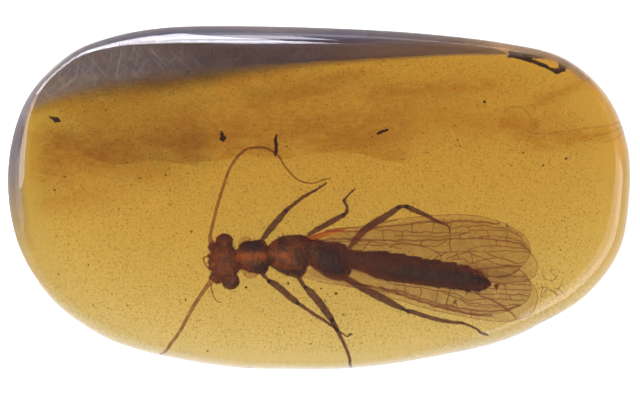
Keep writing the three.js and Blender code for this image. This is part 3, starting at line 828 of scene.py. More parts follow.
def settle(piece, slot, *nodes):
    """Fastens a finished piece to the pebble's body."""
    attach(piece, BODY)
    if nodes:
        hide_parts(*nodes)


def gathered(parts):
    """Several (vertices, faces) as one."""
    vertices, faces = [], []
    for more_vertices, more_faces in parts:
        start = len(vertices)
        vertices += list(more_vertices)
        faces += [tuple(start + i for i in face) for face in more_faces]
    return vertices, faces


def strip(first, second):
    """Four-cornered faces between two rows of points, which are given by their numbers."""
    return list(zip(first[:-1], second[:-1], second[1:], first[1:]))


def skinned(rings):
    """Vertices and faces of a closed skin over rings of points."""
    rings = np.asarray(rings, float)
    count, sides = rings.shape[:2]
    vertices = [*rings.reshape(-1, 3), rings[0].mean(0), rings[-1].mean(0)]
    first_end = count * sides
    last_end = first_end + 1
    last_ring = first_end - sides
    faces = []
    for k in range(sides):
        j = (k + 1) % sides
        faces.append((first_end, j, k))
        faces.append((last_end, last_ring + k, last_ring + j))
        faces += strip(range(k, first_end, sides), range(j, first_end, sides))
    return vertices, faces


def tube(path, radii, sides):
    """Vertices and faces of a round limb along a fairly level path, with rounded ends."""
    reach, thinner = 0.8, 0.5
    path, radii = np.asarray(path, float), np.asarray(radii, float)
    along = np.gradient(path, axis=0)
    along /= np.linalg.norm(along, axis=1)[:, None]
    start = path[0] - along[0] * radii[0] * reach
    end = path[-1] + along[-1] * radii[-1] * reach
    path = np.vstack([start, path, end])
    radii = np.concatenate([[radii[0] * thinner], radii, [radii[-1] * thinner]])
    along = np.vstack([along[0], along, along[-1]])
    side = np.cross((0, 0, 1), along)
    side /= np.linalg.norm(side, axis=1)[:, None]
    up = np.cross(along, side)
    turns = np.linspace(0, 2 * math.pi, sides, endpoint=False)
    rings = []
    for p, r, s, u in zip(path, radii, side, up):
        rings.append([p + r * (math.cos(t) * s + math.sin(t) * u) for t in turns])
    return skinned(rings)


def curve_object(name, strands):
    """A curve object with one line of (x, y, z, radius) points for each strand."""
    data = bpy.data.curves.new(name, "CURVE")
    data.dimensions = "3D"
    for strand in strands:
        line = data.splines.new("POLY")
        line.points.add(len(strand) - 1)
        for point, (x, y, z, radius) in zip(line.points, strand):
            point.co = (x * MM, y * MM, z * MM, 1.0)
            point.radius = radius
    made = bpy.data.objects.new(name, data)
    bpy.context.scene.collection.objects.link(made)
    return made


def new_tree(name, *sockets):
    """A Geometry Nodes tree with these named inputs, what it is given, and its end."""
    tree = bpy.data.node_groups.new(name, "GeometryNodeTree")
    tree.interface.new_socket("Geometry", in_out="INPUT", socket_type="NodeSocketGeometry")
    for socket, kind in sockets:
        tree.interface.new_socket(socket, in_out="INPUT", socket_type="NodeSocket" + kind)
    tree.interface.new_socket("Geometry", in_out="OUTPUT", socket_type="NodeSocketGeometry")
    return tree, tree.nodes.new("NodeGroupInput").outputs, tree.nodes.new("NodeGroupOutput")


def finish_tree(tree, shapes, material, end):
    """Ends a tree: its instances made real, and its material set."""
    real = add_node(tree, "GeometryNodeRealizeInstances", Geometry=shapes)
    plug(end, Geometry=add_node(tree, "GeometryNodeSetMaterial", Geometry=real, Material=material))


def grown(source, name, tree, **inputs):
    """A plain mesh piece from what a tree makes of a source object, which is then removed."""
    modifier = source.modifiers.new("grow", "NODES")
    modifier.node_group = tree
    sockets = {item.name: item.identifier for item in tree.interface.items_tree if item.in_out == "INPUT"}
    for socket, value in inputs.items():
        modifier[sockets[socket]] = value
    bpy.context.view_layer.update()
    graph = bpy.context.evaluated_depsgraph_get()
    mesh = bpy.data.meshes.new_from_object(source.evaluated_get(graph))
    mesh.name = name
    bpy.data.objects.remove(source)
    piece = bpy.data.objects.new(name, mesh)
    bpy.context.scene.collection.objects.link(piece)
    return piece


def strand_tree():
    """Makes each line of a curve a round strand, as thick as its points say."""
    tree, given, end = new_tree(
        "round strands", ("Thickness", "Float"), ("Sides", "Int"), ("Finish", "Material"))
    circle = add_node(
        tree, "GeometryNodeCurvePrimitiveCircle", Resolution=given["Sides"], Radius=given["Thickness"]
    )
    swept = add_node(
        tree, "GeometryNodeCurveToMesh", Curve=given["Geometry"], Profile_Curve=circle,
        Scale=tree.nodes.new("GeometryNodeInputRadius"), Fill_Caps=True,
    )
    smooth_faces = add_node(tree, "GeometryNodeSetShadeSmooth", Geometry=swept)
    finish_tree(tree, smooth_faces, given["Finish"], end)
    return tree


def strands(name, lines, sides, finish):
    """A piece of round strands along lines of (x, y, z, radius) points."""
    source = curve_object(name + "_path", lines)
    return grown(source, name, strand_tree(), Thickness=MM, Sides=sides, Finish=finish)


def bristle_tree():
    """Stands fine bristles on every face, leaning at random."""
    tree, given, end = new_tree(
        "bristles", ("Density", "Float"), ("Length", "Float"), ("Thickness", "Float"), ("Seed", "Int"),
        ("Finish", "Material"),
    )
    points = add_node(
        tree, "GeometryNodeDistributePointsOnFaces", Mesh=given["Geometry"], Density=given["Density"],
        Seed=given["Seed"],
    )
    bristle = add_node(
        tree, "GeometryNodeMeshCone", Vertices=4, Radius_Top=0.0, Radius_Bottom=given["Thickness"],
        Depth=given["Length"],
    )
    lean = add_node(
        tree, "FunctionNodeRandomValue", "data_type", "FLOAT_VECTOR", _0=(-1.0, -1.0, 0.0),
        _1=(1.0, 1.0, 0.0), Seed=given["Seed"],
    )
    scale = add_node(tree, "ShaderNodeCombineXYZ", X=1.0, Y=1.0, Z=random_number(tree, SHORTEST_BRISTLE, 1.0))
    standing = add_node(
        tree, "GeometryNodeInstanceOnPoints", Points=points, Instance=bristle,
        Rotation=points.outputs["Rotation"], Scale=scale,
    )
    leaning = add_node(tree, "GeometryNodeRotateInstances", Instances=standing, Rotation=lean)
    finish_tree(tree, leaning, given["Finish"], end)
    return tree


def dust_tree():
    """Scatters small grains through the depth under the faces that look up."""
    tree, given, end = new_tree(
        "dust", ("Density", "Float"), ("Size", "Float"), ("Seed", "Int"), ("Finish", "Material")
    )
    full_turn = 6.28

    def combined(operation, a, b):
        return calculated(tree, operation, a, b)

    def number(low, high, offset):
        return random_number(tree, low, high, combined("ADD", given["Seed"], float(offset)))

    def parts_of(kind):
        return add_node(tree, "ShaderNodeSeparateXYZ", Vector=tree.nodes.new(kind)).outputs

    looks_up = combined("GREATER_THAN", parts_of("GeometryNodeInputNormal")["Z"], LOOKS_UP)
    points = add_node(
        tree, "GeometryNodeDistributePointsOnFaces", Mesh=given["Geometry"], Selection=looks_up,
        Density=given["Density"], Seed=given["Seed"],
    )
    place = parts_of("GeometryNodeInputPosition")
    (near, low), (far, high) = DUST_FLOOR
    floor = mapped(tree, place["Y"], near * MM, far * MM, low * MM, high * MM)
    depth = combined("SUBTRACT", place["Z"], floor)
    height = combined("ADD", floor, combined("MULTIPLY", depth, number(0.04, 0.94, 1)))
    sunk = add_node(tree, "ShaderNodeCombineXYZ", X=place["X"], Y=place["Y"], Z=height)
    moved = add_node(tree, "GeometryNodeSetPosition", Geometry=points, Position=sunk)
    grain_shape = add_node(tree, "GeometryNodeMeshIcoSphere", Subdivisions=1, Radius=1.0)
    size = combined("MULTIPLY", given["Size"], combined("POWER", number(0.55, 1.0, 2), 3.0))
    turned = add_node(tree, "ShaderNodeCombineXYZ", X=number(0.0, full_turn, 3), Y=number(0.0, full_turn, 4))
    narrower = combined("MULTIPLY", size, number(0.75, 1.0, 5))
    stretched = add_node(tree, "ShaderNodeCombineXYZ", X=size, Y=narrower, Z=size)
    grains = add_node(
        tree, "GeometryNodeInstanceOnPoints", Points=moved, Instance=grain_shape, Rotation=turned,
        Scale=stretched,
    )
    finish_tree(tree, grains, given["Finish"], end)
    return tree


def outwardness(x, y):
    """0 in the pebble's middle and 1 at its edge, by the square of the distance."""
    return (x / HALF_LENGTH) ** 2 + (y / HALF_WIDTH) ** 2


def top_height(x, y):
    """Height of the pebble's top over a point."""
    return MID_THICKNESS + RISE * y - CROWN * outwardness(x, y) ** 2


def shown_at(x, y, height):
    """The place at a height over the ground that is seen at x, y from above through the curved top."""
    fall = 4 * CROWN * outwardness(x, y)
    slope = Vector((-fall * x / HALF_LENGTH**2, RISE - fall * y / HALF_WIDTH**2))
    tilt = math.atan(slope.length)
    bent = tilt - math.asin(math.sin(tilt) / BENDING)
    away = slope.normalized() * math.tan(bent) * (top_height(x, y) - height)
    return Vector((x + away.x, y + away.y, height))


def edge_ring(count):
    """The pebble's edge, fitted to the size of the part."""
    ring = smooth(EDGE, count, closed=True)
    low, high = ring.min(0), ring.max(0)
    return (ring - (low + high) / 2) * (2 * np.array([HALF_LENGTH, HALF_WIDTH])) / (high - low)


def ways_in(ring):
    """The level direction straight in from each point of a ring."""
    along = np.roll(ring, -1, 0) - np.roll(ring, 1, 0)
    along /= np.linalg.norm(along, axis=1)[:, None]
    return np.stack([-along[:, 1], along[:, 0]], 1)


def bottom_height(x, y):
    """Height of the pebble's underside over a point: flat, but for the two ground facets."""
    highest_power = 60.0
    slope = math.tan(math.radians(FACET_SLOPE))
    total = 1.0
    for (facet_x, facet_y), degrees in FACETS:
        turn = math.radians(degrees)
        beyond = (y - facet_y) * math.cos(turn) - (x - facet_x) * math.sin(turn)
        total += math.exp(min(beyond * slope / FACET_SOFTNESS, highest_power))
    return FACET_SOFTNESS * math.log(total)


def frost(x, y, z):
    """How matt the pebble is at a point of its skin: polished, but for its ground facets."""
    if z >= top_height(x, y) / 2:
        return 0.0
    return FACET_ROUGHNESS * smooth_step(0.15, 0.8, bottom_height(x, y))


def direction_of(x, y):
    """Direction of a point from the middle, in degrees, in a pebble made as wide as it is long."""
    return math.degrees(math.atan2(y / HALF_WIDTH, x / HALF_LENGTH)) % 360


def pebble_section(edge, inward, steps):
    """Points of one upright section, from the underside out round the rim and in across the top."""
    over = around(OVER, direction_of(*edge))
    points = []
    across = ACROSS * steps
    for k in range(1, across + 1):
        x, y = (edge + inward * UNDER) * (k / across) ** CROWDING
        points.append((x, y, bottom_height(x, y)))
    for k in range(1, steps + 1):
        turn = math.pi / 2 * k / steps
        x, y = edge + inward * UNDER * (1 - math.sin(turn))
        points.append((x, y, bottom_height(x, y) + UNDER_RISE * (1 - math.cos(turn))))
    for k in range(steps + 1):
        turn = math.pi / 2 * k / steps
        x, y = edge + inward * over * (1 - math.cos(turn))
        points.append((x, y, top_height(x, y) - OVER_RISE * (1 - math.sin(turn))))
    rim = np.array(points[-1][:2])
    for k in range(1, across):
        x, y = rim * (1 - k / across)
        points.append((x, y, top_height(x, y)))
    return points


def pebble_mesh(segments, steps):
    """Vertices and faces of the whole pebble."""
    ring = edge_ring(segments)
    vertices = []
    for place, inward in zip(ring, ways_in(ring)):
        vertices += pebble_section(place, inward, steps)
    rows = len(vertices) // segments
    vertices += [(0, 0, 0), (0, 0, top_height(0, 0))]
    bottom, top = len(vertices) - 2, len(vertices) - 1
    faces = []
    for i in range(segments):
        a, b = i * rows, (i + 1) % segments * rows
        faces.append((bottom, b, a))
        faces.append((top, a + rows - 1, b + rows - 1))
        faces += strip(range(a, a + rows), range(b, b + rows))
    return vertices, faces


def rim_sheet(density, segments, steps):
    """Points, faces and densities of a sheet just under the rim's rounding, where there is any."""
    ring = edge_ring(segments)
    first = (ACROSS + 1) * steps
    count = steps + 1
    points, faces, fades = [], [], []
    for place, inward in zip(ring, ways_in(ring)):
        direction = direction_of(*place)
        if density[0][0] <= direction <= density[-1][0]:
            below = np.array([*inward * RIM_DEPTH, -RIM_DEPTH])
            section = pebble_section(place, inward, steps)[first : first + count]
            most = np.interp(direction, *zip(*density))
            start = len(points)
            if start:
                faces += strip(range(start - count, start), range(start, start + count))
            points += [np.array(point) + below for point in section]
            fades += [most * (1 - smooth_step(0.6, 1.0, k / steps)) for k in range(count)]
    return points, faces, fades


def axis_height(x):
    """Height of the stonefly's axis over the ground."""
    return AXIS_HEIGHT - AXIS_FALL * x


def limb_height(x, y):
    """Height over the ground that legs and antennae lie at: lower where the pebble is thin."""
    return LIMB_LEVEL * top_height(x, y)


def lofted(stations, rows, sides, softly=True):
    """Skin of a body section, from stations of x, upper edge, lower edge and half height."""
    if softly:
        stations = smooth(stations, rows)
    else:
        places = np.linspace(0, len(stations) - 1, rows)
        columns = np.asarray(stations, float).T
        stations = np.stack([np.interp(places, range(len(column)), column) for column in columns], 1)
    turns = np.linspace(0, 2 * math.pi, sides, endpoint=False)
    rings = []
    for x, upper, lower, half in stations:
        middle = shown_at(x, (upper + lower) / 2, axis_height(x))
        ring = []
        for turn in turns:
            across = (upper - lower) / 2 * math.copysign(abs(math.cos(turn)) ** SQUARENESS, math.cos(turn))
            rise = half * math.copysign(abs(math.sin(turn)) ** SQUARENESS, math.sin(turn))
            ring.append(middle + Vector((0, across, rise)))
        rings.append(ring)
    return skinned(rings)


def sheet(stations, rows):
    """Points, faces and each point's share along and across, of a sheet. A station has two x and y."""
    count = 12 * len(stations)
    lines = smooth(stations, count)
    near, far = lines[:, :2], lines[:, 2:]
    points, shares, faces = [], [], []
    for k in range(rows + 1):
        points += [tuple(near[i] + (far[i] - near[i]) * k / rows) for i in range(count)]
        shares += [(i / count, k / rows) for i in range(count)]
    for i in range(count - 1):
        faces += strip(range(i, len(points), count), range(i + 1, len(points), count))
    return points, faces, shares


def disc(outline, rows):
    """Points and faces of a flat piece that fills an outline, from its middle out."""
    middle = outline.mean(0)
    count = len(outline)
    points = [middle]
    for k in range(1, rows + 1):
        points += [middle + (point - middle) * k / rows for point in outline]
    rings = [[*range(start, start + count), start] for start in range(1, len(points), count)]
    faces = [(0, a, b) for a, b in zip(rings[0], rings[0][1:])]
    for inner, outer in zip(rings, rings[1:]):
        faces += strip(inner, outer)
    return points, faces


def ball(centre, halves, rows=20, sides=28):
    """Vertices and faces of an egg-shaped lump."""
    pole = 0.06
    rings = []
    for fall in np.linspace(pole, math.pi - pole, rows):
        ring = []
        for turn in np.linspace(0, 2 * math.pi, sides, endpoint=False):
            way = (math.sin(fall) * math.cos(turn), math.sin(fall) * math.sin(turn), math.cos(fall))
            ring.append([middle + half * share for middle, half, share in zip(centre, halves, way)])
        rings.append(ring)
    return skinned(rings)


def roughened(vertices, amount, size):
    """The vertices moved a little by smooth noise."""
    return [np.array(v) + amount * np.array(noise.noise_vector(Vector(v) / size)) for v in vertices]


def tone(x, y):
    """How dark, below 0.35, or orange, above it, the stonefly's back is at a point."""
    y -= shown_at(x, y, AXIS_HEIGHT).y - y
    total = FRONT_TONE
    for start, end, amount in TONE_FALLS:
        total -= amount * smooth_step(start, end, x)
    for patch_x, patch_y, half_length, half_width, amount in PATCHES:
        away = ((x - patch_x) / half_length) ** 2 + ((y - patch_y) / half_width) ** 2
        total += amount * math.exp(-(away**1.5))
    return total


def body_piece(name, parts, material, amount=0.05, size=0.28):
    """One closed piece of the body, with its tone at each vertex."""
    vertices, faces = gathered(parts)
    vertices = roughened(vertices, amount, size)
    piece = new_piece(name, vertices, faces, material)
    outward(piece)
    tag(piece, "tone", [tone(v[0], v[1]) for v in vertices])
    return piece


def scratches(tree, angle, width):
    """1 on long thin scratches at an angle, and 0 between them. width is in mm."""
    length = 36.0
    turned = add_node(
        tree, "ShaderNodeMapping", "vector_type", "TEXTURE", Vector=object_place(tree),
        Rotation=(0.0, 0.0, angle), Scale=(length, 1.0, length),
    )
    lines = add_node(tree, "ShaderNodeTexNoise", Vector=turned, Scale=1 / (width * MM), Detail=1.0)
    return mapped(tree, lines, 0.64, 0.7)


def amber_material(settings):
    """Clear amber, matt where its frost says."""
    material, tree, shader = principled(
        "clear amber", settings.tint, 0.0, IOR=settings.ior, Transmission_Weight=1.0
    )
    color = (*settings.absorption, 1.0)
    absorb = add_node(tree, "ShaderNodeVolumeAbsorption", Color=color, Density=settings.density)
    plug(tree.nodes["Material Output"], Volume=absorb)
    plug(shader, Roughness=attribute(tree, "frost"))
    return material


def fading_material(name, color, most):
    """A dull colour that hides as much as the piece's fade says."""
    material, tree, shader = principled(name, color, 0.7)
    plug(shader, Alpha=calculated(tree, "MULTIPLY", attribute(tree, "fade"), most))
    return material


def scratch_and_haze_material():
    """Fine scratches over a painted pale haze that stands for the top's reflection, fading out as its edge
    says.
    """
    material, tree, shader = principled("scuffs", (0.8, 0.72, 0.66), 0.6)
    most = 0.0
    for angle, width in ((1.35, 0.035), (0.75, 0.04), (2.3, 0.045)):
        most = calculated(tree, "MAXIMUM", most, scratches(tree, angle, width))
    # At least 0.1 everywhere: a painted pale reflection haze, which the scratches raise
    scratch_and_reflection_haze = mapped(tree, most, 0.0, 1.0, 0.1, 0.26)
    plug(shader, Alpha=calculated(tree, "MULTIPLY", attribute(tree, "fade"), scratch_and_reflection_haze))
    return material


def cuticle_material(settings):
    """The stonefly's skin, coloured by its tone, mottled and a little glossy."""
    material, tree, shader = principled("cuticle", settings.brown, 0.45)
    mottled = calculated(tree, "MULTIPLY_ADD", grain(tree, 0.3), 0.5, -0.25)
    flecked = calculated(tree, "MULTIPLY_ADD", grain(tree, 0.11), 1.0, -0.5)
    uneven = calculated(tree, "ADD", mottled, flecked)
    total = calculated(tree, "ADD", attribute(tree, "tone"), uneven)
    color = ramp(tree, total, [(0.0, settings.dark), (0.35, settings.brown), (0.9, settings.orange)])
    bump = add_node(tree, "ShaderNodeBump", Height=grain(tree, 0.08), Strength=0.4, Distance=0.02 * MM)
    plug(shader, Base_Color=color, Normal=bump)
    return material


def mottled_material(name, low, high, size, roughness=0.5, **inputs):
    """A material mottled with two colours."""
    material, tree, shader = principled(name, low, roughness, **inputs)
    plug(shader, Base_Color=ramp(tree, grain(tree, size), [(0.35, low), (0.65, high)]))
    return material


def tinted_material(name, low, high, size):
    """A skin that light goes straight through, unevenly coloured by it."""
    return mottled_material(name, low, high, size, 0.0, **SEE_THROUGH)


def wing_material(alpha):
    """A thin see-through film, uneven in how much it hides."""
    material, tree, shader = principled("wing film", (0.5, 0.1, 0.06), 0.5)
    plug(shader, Alpha=mapped(tree, grain(tree, 0.6), 0.3, 0.7, alpha * 0.7, alpha * 1.3))
    return material


def stain_material(name, tint, strength, size, threshold=0.4, stretch=1.0):
    """A coloured film that light goes straight through, patchy, and fading out as its edge says."""
    material, tree, shader = principled(name, tint, 0.0, **SEE_THROUGH)
    patchy = mapped(tree, grain(tree, size, 6.0, stretch), threshold, threshold + 0.22, 0.0, strength)
    share = calculated(tree, "MULTIPLY", attribute(tree, "fade"), patchy)
    plug(shader, Base_Color=ramp(tree, share, [(0.0, (1.0, 1.0, 1.0)), (1.0, tint)]))
    return material


def lamp(name, place, towards, size, radiance, spread=math.pi):
    """A rectangular lamp, as bright straight ahead whatever its size and the angle it fans out over."""
    data = bpy.data.lights.new(name, "AREA")
    data.shape = "RECTANGLE"
    data.size, data.size_y = size
    data.spread = spread
    share = 1.0 if spread == math.pi else 1 - spread / 2 / math.tan(spread / 2)
    data.energy = radiance * share * math.pi * size[0] * size[1]
    made = bpy.data.objects.new(name, data)
    made.location = place
    made.rotation_euler = Vector(towards).to_track_quat("-Z", "Y").to_euler()
    bpy.context.scene.collection.objects.link(made)
    return made


def heading(azimuth, elevation):
    """The direction at an azimuth and an elevation, in degrees."""
    turn, lift = math.radians(azimuth), math.radians(elevation)
    return Vector((math.cos(turn) * math.cos(lift), math.sin(turn) * math.cos(lift), math.sin(lift)))


def make_table(settings):
    """Makes the pale ground, and the square of light under the pebble."""
    material, _, _ = principled("pale table", (0.8, 0.8, 0.8), 0.9)
    half = 600.0
    below = -0.05
    corners = [(-half, -half, below), (half, -half, below), (half, half, below), (-half, half, below)]
    new_piece("table_top", corners, [(0, 1, 2, 3)], material)

    size = 0.3
    corner = Vector((-16.4, 10.3, -0.02)) * MM
    middle = corner + Vector((size / 2, -size / 2, 0))
    table = lamp("light_table", middle, (0, 0, 1), (size, size), settings.table_glow, settings.table_spread)
    table.visible_camera = True


def make_lamps(settings):
    """Makes the lamps that the pebble's skin reflects, and one that only lights what is in it."""
    for azimuth, elevation, width, height, share in SIDE_LAMPS:
        way = heading(azimuth, elevation)
        side = lamp("side_lamp", way * LAMP_DISTANCE, -way, (width, height), settings.side_glow * share)
        side.data.color = (0.93, 0.9, 1.0)
        side.visible_diffuse = False
        side.visible_transmission = False
    way = heading(*FRONT_WAY)
    front = lamp("front_lamp", way * LAMP_DISTANCE, -way, (0.3, 0.3), settings.front_glow)
    front.visible_glossy = False


def make_world(scene):
    """Fills the room with a soft pale grey."""
    world = bpy.data.worlds.new("studio")
    world.use_nodes = True
    plug(world.node_tree.nodes["Background"], Color=(0.34, 0.34, 0.36, 1.0), Strength=1.0)
    scene.world = world


def make_camera(scene, settings):
    """Looks straight down at the pebble."""
    girdle = 3.0
    film = 36.0
    distance = settings.view_width * settings.lens / film
    camera = bpy.data.objects.new("camera", bpy.data.cameras.new("camera"))
    camera.data.lens = settings.lens
    camera.data.sensor_width = film
    camera.data.clip_start = 0.01
    camera.location = (0.05 * MM, -0.05 * MM, girdle * MM + distance)
    scene.collection.objects.link(camera)
    scene.camera = camera


def make_scratches_and_painted_haze():
    """Makes the film of scratches and painted reflection haze over the thick edge, weaker towards the right.
    """
    points, faces, shares = sheet(SCRATCH_AND_HAZE_FILM, FILM_ROWS)
    places = [(x, y, top_height(x, y) + HAZE_FILM_LIFT) for x, y in points]
    scuffs = new_piece("scuffs", places, faces, scratch_and_haze_material())
    scratch_and_haze_fade = []
    for (x, _), (_, across) in zip(points, shares):
        scratch_and_haze_fade.append(smooth_step(0.0, 0.4, across) * (1 - 0.55 * smooth_step(-11.0, -4.0, x)))
    tag(scuffs, "fade", scratch_and_haze_fade)
    settle(scuffs, "amber")


def make_painted_facet_shade():
    """Makes the painted shade of the dark zone, a dark film: just over the ground facets at the left, and
    under the top at the right.
    """
    over_facet, under_top, ahead = 0.06, 1.4, 0.4
    starting = sheet([(x, start, x, full) for x, start, full, _ in PAINTED_FACET_SHADE], FILM_ROWS)
    full = sheet([(x, full, x, end) for x, _, full, end in PAINTED_FACET_SHADE], FILM_ROWS)
    points, faces = gathered([starting[:2], full[:2]])
    fades = [smooth_step(0.0, 1.0, across) for _, across in starting[2]] + [1.0] * len(full[0])
    places = []
    for x, y in points:
        low = bottom_height(x, y + ahead) + over_facet
        height = low + (top_height(x, y) - under_top - low) * smooth_step(-4.0, 5.0, x)
        places.append((shown_at(x, y, height) + Vector((x, y, height))) / 2)
    # Nearly opaque dark brown film: painted shade where the facets bend the light away
    skin = new_piece("facet_skin", places, faces, fading_material("painted facet shade", (0.27, 0.115, 0.03), 0.9))
    tag(skin, "fade", fades)
    settle(skin, "amber")


def make_rim_film(name, color, density, settings):
    """Makes a film of one colour under the rim's rounding."""
    points, faces, fades = rim_sheet(density, settings.segments, settings.steps)
    film = new_piece(name, points, faces, fading_material(name.replace("_", " "), color, 1.0))
    tag(film, "fade", fades)
    settle(film, "amber")


def make_legs(material):
    """Makes the six legs, segment by segment, as one piece."""
    parts = []
    for leg in LEGS:
        for segment in leg:
            path = smooth(segment, 6 * len(segment))
            places = [shown_at(x, y, limb_height(x, y)) for x, y, _ in path]
            parts.append(tube(places, path[:, 2], 12))
    vertices, faces = gathered(parts)
    legs = new_piece("legs", roughened(vertices, 0.03, 0.15), faces, material)
    outward(legs)
    settle(legs, "cuticle")


def make_antennae(material):
    """Makes both antennae, with beads along them."""
    lines = []
    for antenna in ANTENNAE:
        path = smooth(antenna, 26 * len(antenna))
        beads = 1.25 + 0.16 * np.sin(np.arange(len(path)) * 1.3)
        line = []
        for (x, y, radius), bead in zip(path, beads):
            line.append((*shown_at(x, y, limb_height(x, y) + ANTENNA_LIFT), radius * bead))
        lines.append(line)
    settle(strands("antennae", lines, 10, material), "cuticle")


def make_bristles():
    """Makes the fine bristles on body and legs."""
    hair = mottled_material("bristle", (0.1, 0.04, 0.02), (0.2, 0.08, 0.04), 0.3)
    vertices, faces = gathered([bare(name) for name in BRISTLED])
    bristles = grown(
        new_piece("bristle_ground", vertices, faces, hair, 1.0), "bristles", bristle_tree(),
        Density=BRISTLE_DENSITY, Length=BRISTLE_LENGTH, Thickness=BRISTLE_RADIUS, Seed=3, Finish=hair,
    )
    settle(bristles, "cuticle")


def make_dust(settings):
    """Makes the grains of dust all through the amber."""
    grit = tinted_material("grit", (0.16, 0.1, 0.08), (0.6, 0.42, 0.34), 0.4)
    vertices, faces = pebble_mesh(96, 6)
    source = new_piece("dust_ground", [np.array(v) * DUSTY for v in vertices], faces, grit)
    dust = grown(
        source, "dust", dust_tree(), Density=settings.density, Size=settings.size, Seed=settings.seed,
        Finish=grit,
    )
    settle(dust, "plant")


def make_spots(material):
    """Makes the bigger dark spots."""
    lumps = []
    for x, y, radius in SPOTS:
        place = shown_at(x, y, 0.45 * top_height(x, y))
        lump, faces = ball(place, (radius, radius * 0.85, radius * 0.8), 8, 12)
        lumps.append((roughened(lump, radius * 0.4, radius), faces))
    spots = new_piece("spots", *gathered(lumps), material)
    outward(spots)
    settle(spots, "plant")


def curls():
    """Lines of the tangle of fine curls near the wing tips."""
    chance = random.Random(7)
    lines = []
    for _ in range(CURLS):
        x, y = [chance.uniform(*limits) for limits in CURL_PLACES]
        turn = chance.uniform(0, math.pi)
        line = []
        for _ in range(CURL_STEPS):
            line.append((*shown_at(x, y, 2.3), 0.012))
            x += CURL_STEP * math.cos(turn)
            y += CURL_STEP * math.sin(turn)
            turn += chance.uniform(-CURL_TURN, CURL_TURN)
        lines.append(line)
    return lines


def make_threads(material):
    """Makes the dark threads, the lines along the edge and the curls."""
    lines = [[(*shown_at(x, y, 2.2), 0.025) for x, y in smooth(thread, 16)] for thread in THREADS]
    inside, below = 0.998, 1.15
    for first, last in EDGE_LINES:
        run = [(x, y) for x, y in edge_ring(720) if first < direction_of(x, y) < last]
        lines.append([(x * inside, y * inside, top_height(x, y) - below, 0.03) for x, y in run])
    settle(strands("threads", lines + curls(), 6, material), "plant")


def make_stains():
    """Makes the brown stains, one film over the other."""
    for number, (strength, size, soft, stations) in enumerate(FLOWS):
        points, faces, shares = sheet(stations, FLOW_ROWS)
        level = FLOW_LEVEL + FLOW_STEP * number
        places = [shown_at(x, y, level + 0.1 * math.sin(x)) for x, y in points]
        finish = stain_material("stain", (0.77, 0.58, 0.23), strength, size, 0.32, 2.2)
        stain = new_piece(f"flow_{number + 1}", places, faces, finish)
        starting = 0.04 if stations[0][0] < LEFT_RIM else 0.12
        fades = []
        for along, across in shares:
            ends = smooth_step(0.0, starting, along) * (1 - smooth_step(0.88, 1.0, along))
            fades.append(ends * smooth_step(0.0, soft, across) * (1 - smooth_step(0.4, 1.0, across)))
        tag(stain, "fade", fades)
        settle(stain, "amber")


def make_flow_lines():
    """Makes the faint lines where the amber flowed."""
    lines = []
    for line in FLOW_LINES:
        lines.append([(*shown_at(x, y, LINE_LEVEL), 0.05) for x, y in smooth(line, 12 * len(line))])
    faint = tinted_material("flow line", (0.86, 0.78, 0.7), (0.94, 0.88, 0.8), 0.5)
    settle(strands("flow_lines", lines, 6, faint), "amber")


def make_mottling():
    """Makes the fine unevenness of the amber, fading out before its edge."""
    points, faces = disc(edge_ring(96) * 0.965, 8)
    places = [(x, y, 0.5 * top_height(x, y)) for x, y in points]
    finish = stain_material("mottled", (0.7, 0.6, 0.46), 1.0, 0.11, 0.45)
    mottling = new_piece("mottling", places, faces, finish)
    tag(mottling, "fade", [1 - smooth_step(0.5, 0.9, (x / 15.5) ** 4 + (y / 8.5) ** 4) for x, y in points])
    settle(mottling, "amber")


def make_wing_root():
    """Makes the orange skin at the root of the upper wings."""
    outline = smooth(WING_ROOT, 60, closed=True)
    places = [shown_at(x, y, ROOT_HEIGHT - WING_FALL * x) for x, y in outline]
    finish = stain_material("wing root", (1.0, 0.22, 0.06), 1.0, 3.0, 0.0)
    skin = new_piece("wing_root_glow", places, [tuple(range(len(places)))], finish)
    tag(skin, "fade", [1.0] * len(places))
    settle(skin, "cuticle")


class AMBER_OT_stage(bpy.types.Operator):
    """Sets the light table, the lamps and the camera"""

    bl_idname = "amber.stage"
    bl_label = "Stage"

    def execute(self, context):
        scene = context.scene
        settings = scene.amber_stage
        scene.cycles.use_denoising = True
        scene.view_settings.view_transform = "Standard"
        make_table(settings)
        make_lamps(settings)
        make_world(scene)
        make_camera(scene, settings)
        return {"FINISHED"}


class AMBER_OT_pebble(bpy.types.Operator):
    """Makes the clear amber pebble in one piece, in place of its two halves, and its films"""

    bl_idname = "amber.pebble"
    bl_label = "Pebble"

    def execute(self, context):
        settings = context.scene.amber_pebble
        vertices, faces = pebble_mesh(settings.segments, settings.steps)
        piece = new_piece("amber_pebble", vertices, faces, amber_material(settings))
        tag(piece, "frost", [frost(*v) for v in vertices])
        settle(piece, "amber", "amber_lower", "amber_upper")
        make_scratches_and_painted_haze()
        make_painted_facet_shade()
        # Dark grey film under the rim's rounding: painted shade for the rim's grey look
        make_rim_film("rim_skin", (0.15, 0.14, 0.17), PAINTED_RIM_SHADE, settings)
        make_rim_film("rim_crust", (0.6, 0.34, 0.1), RIM_CRUST, settings)
        return {"FINISHED"}


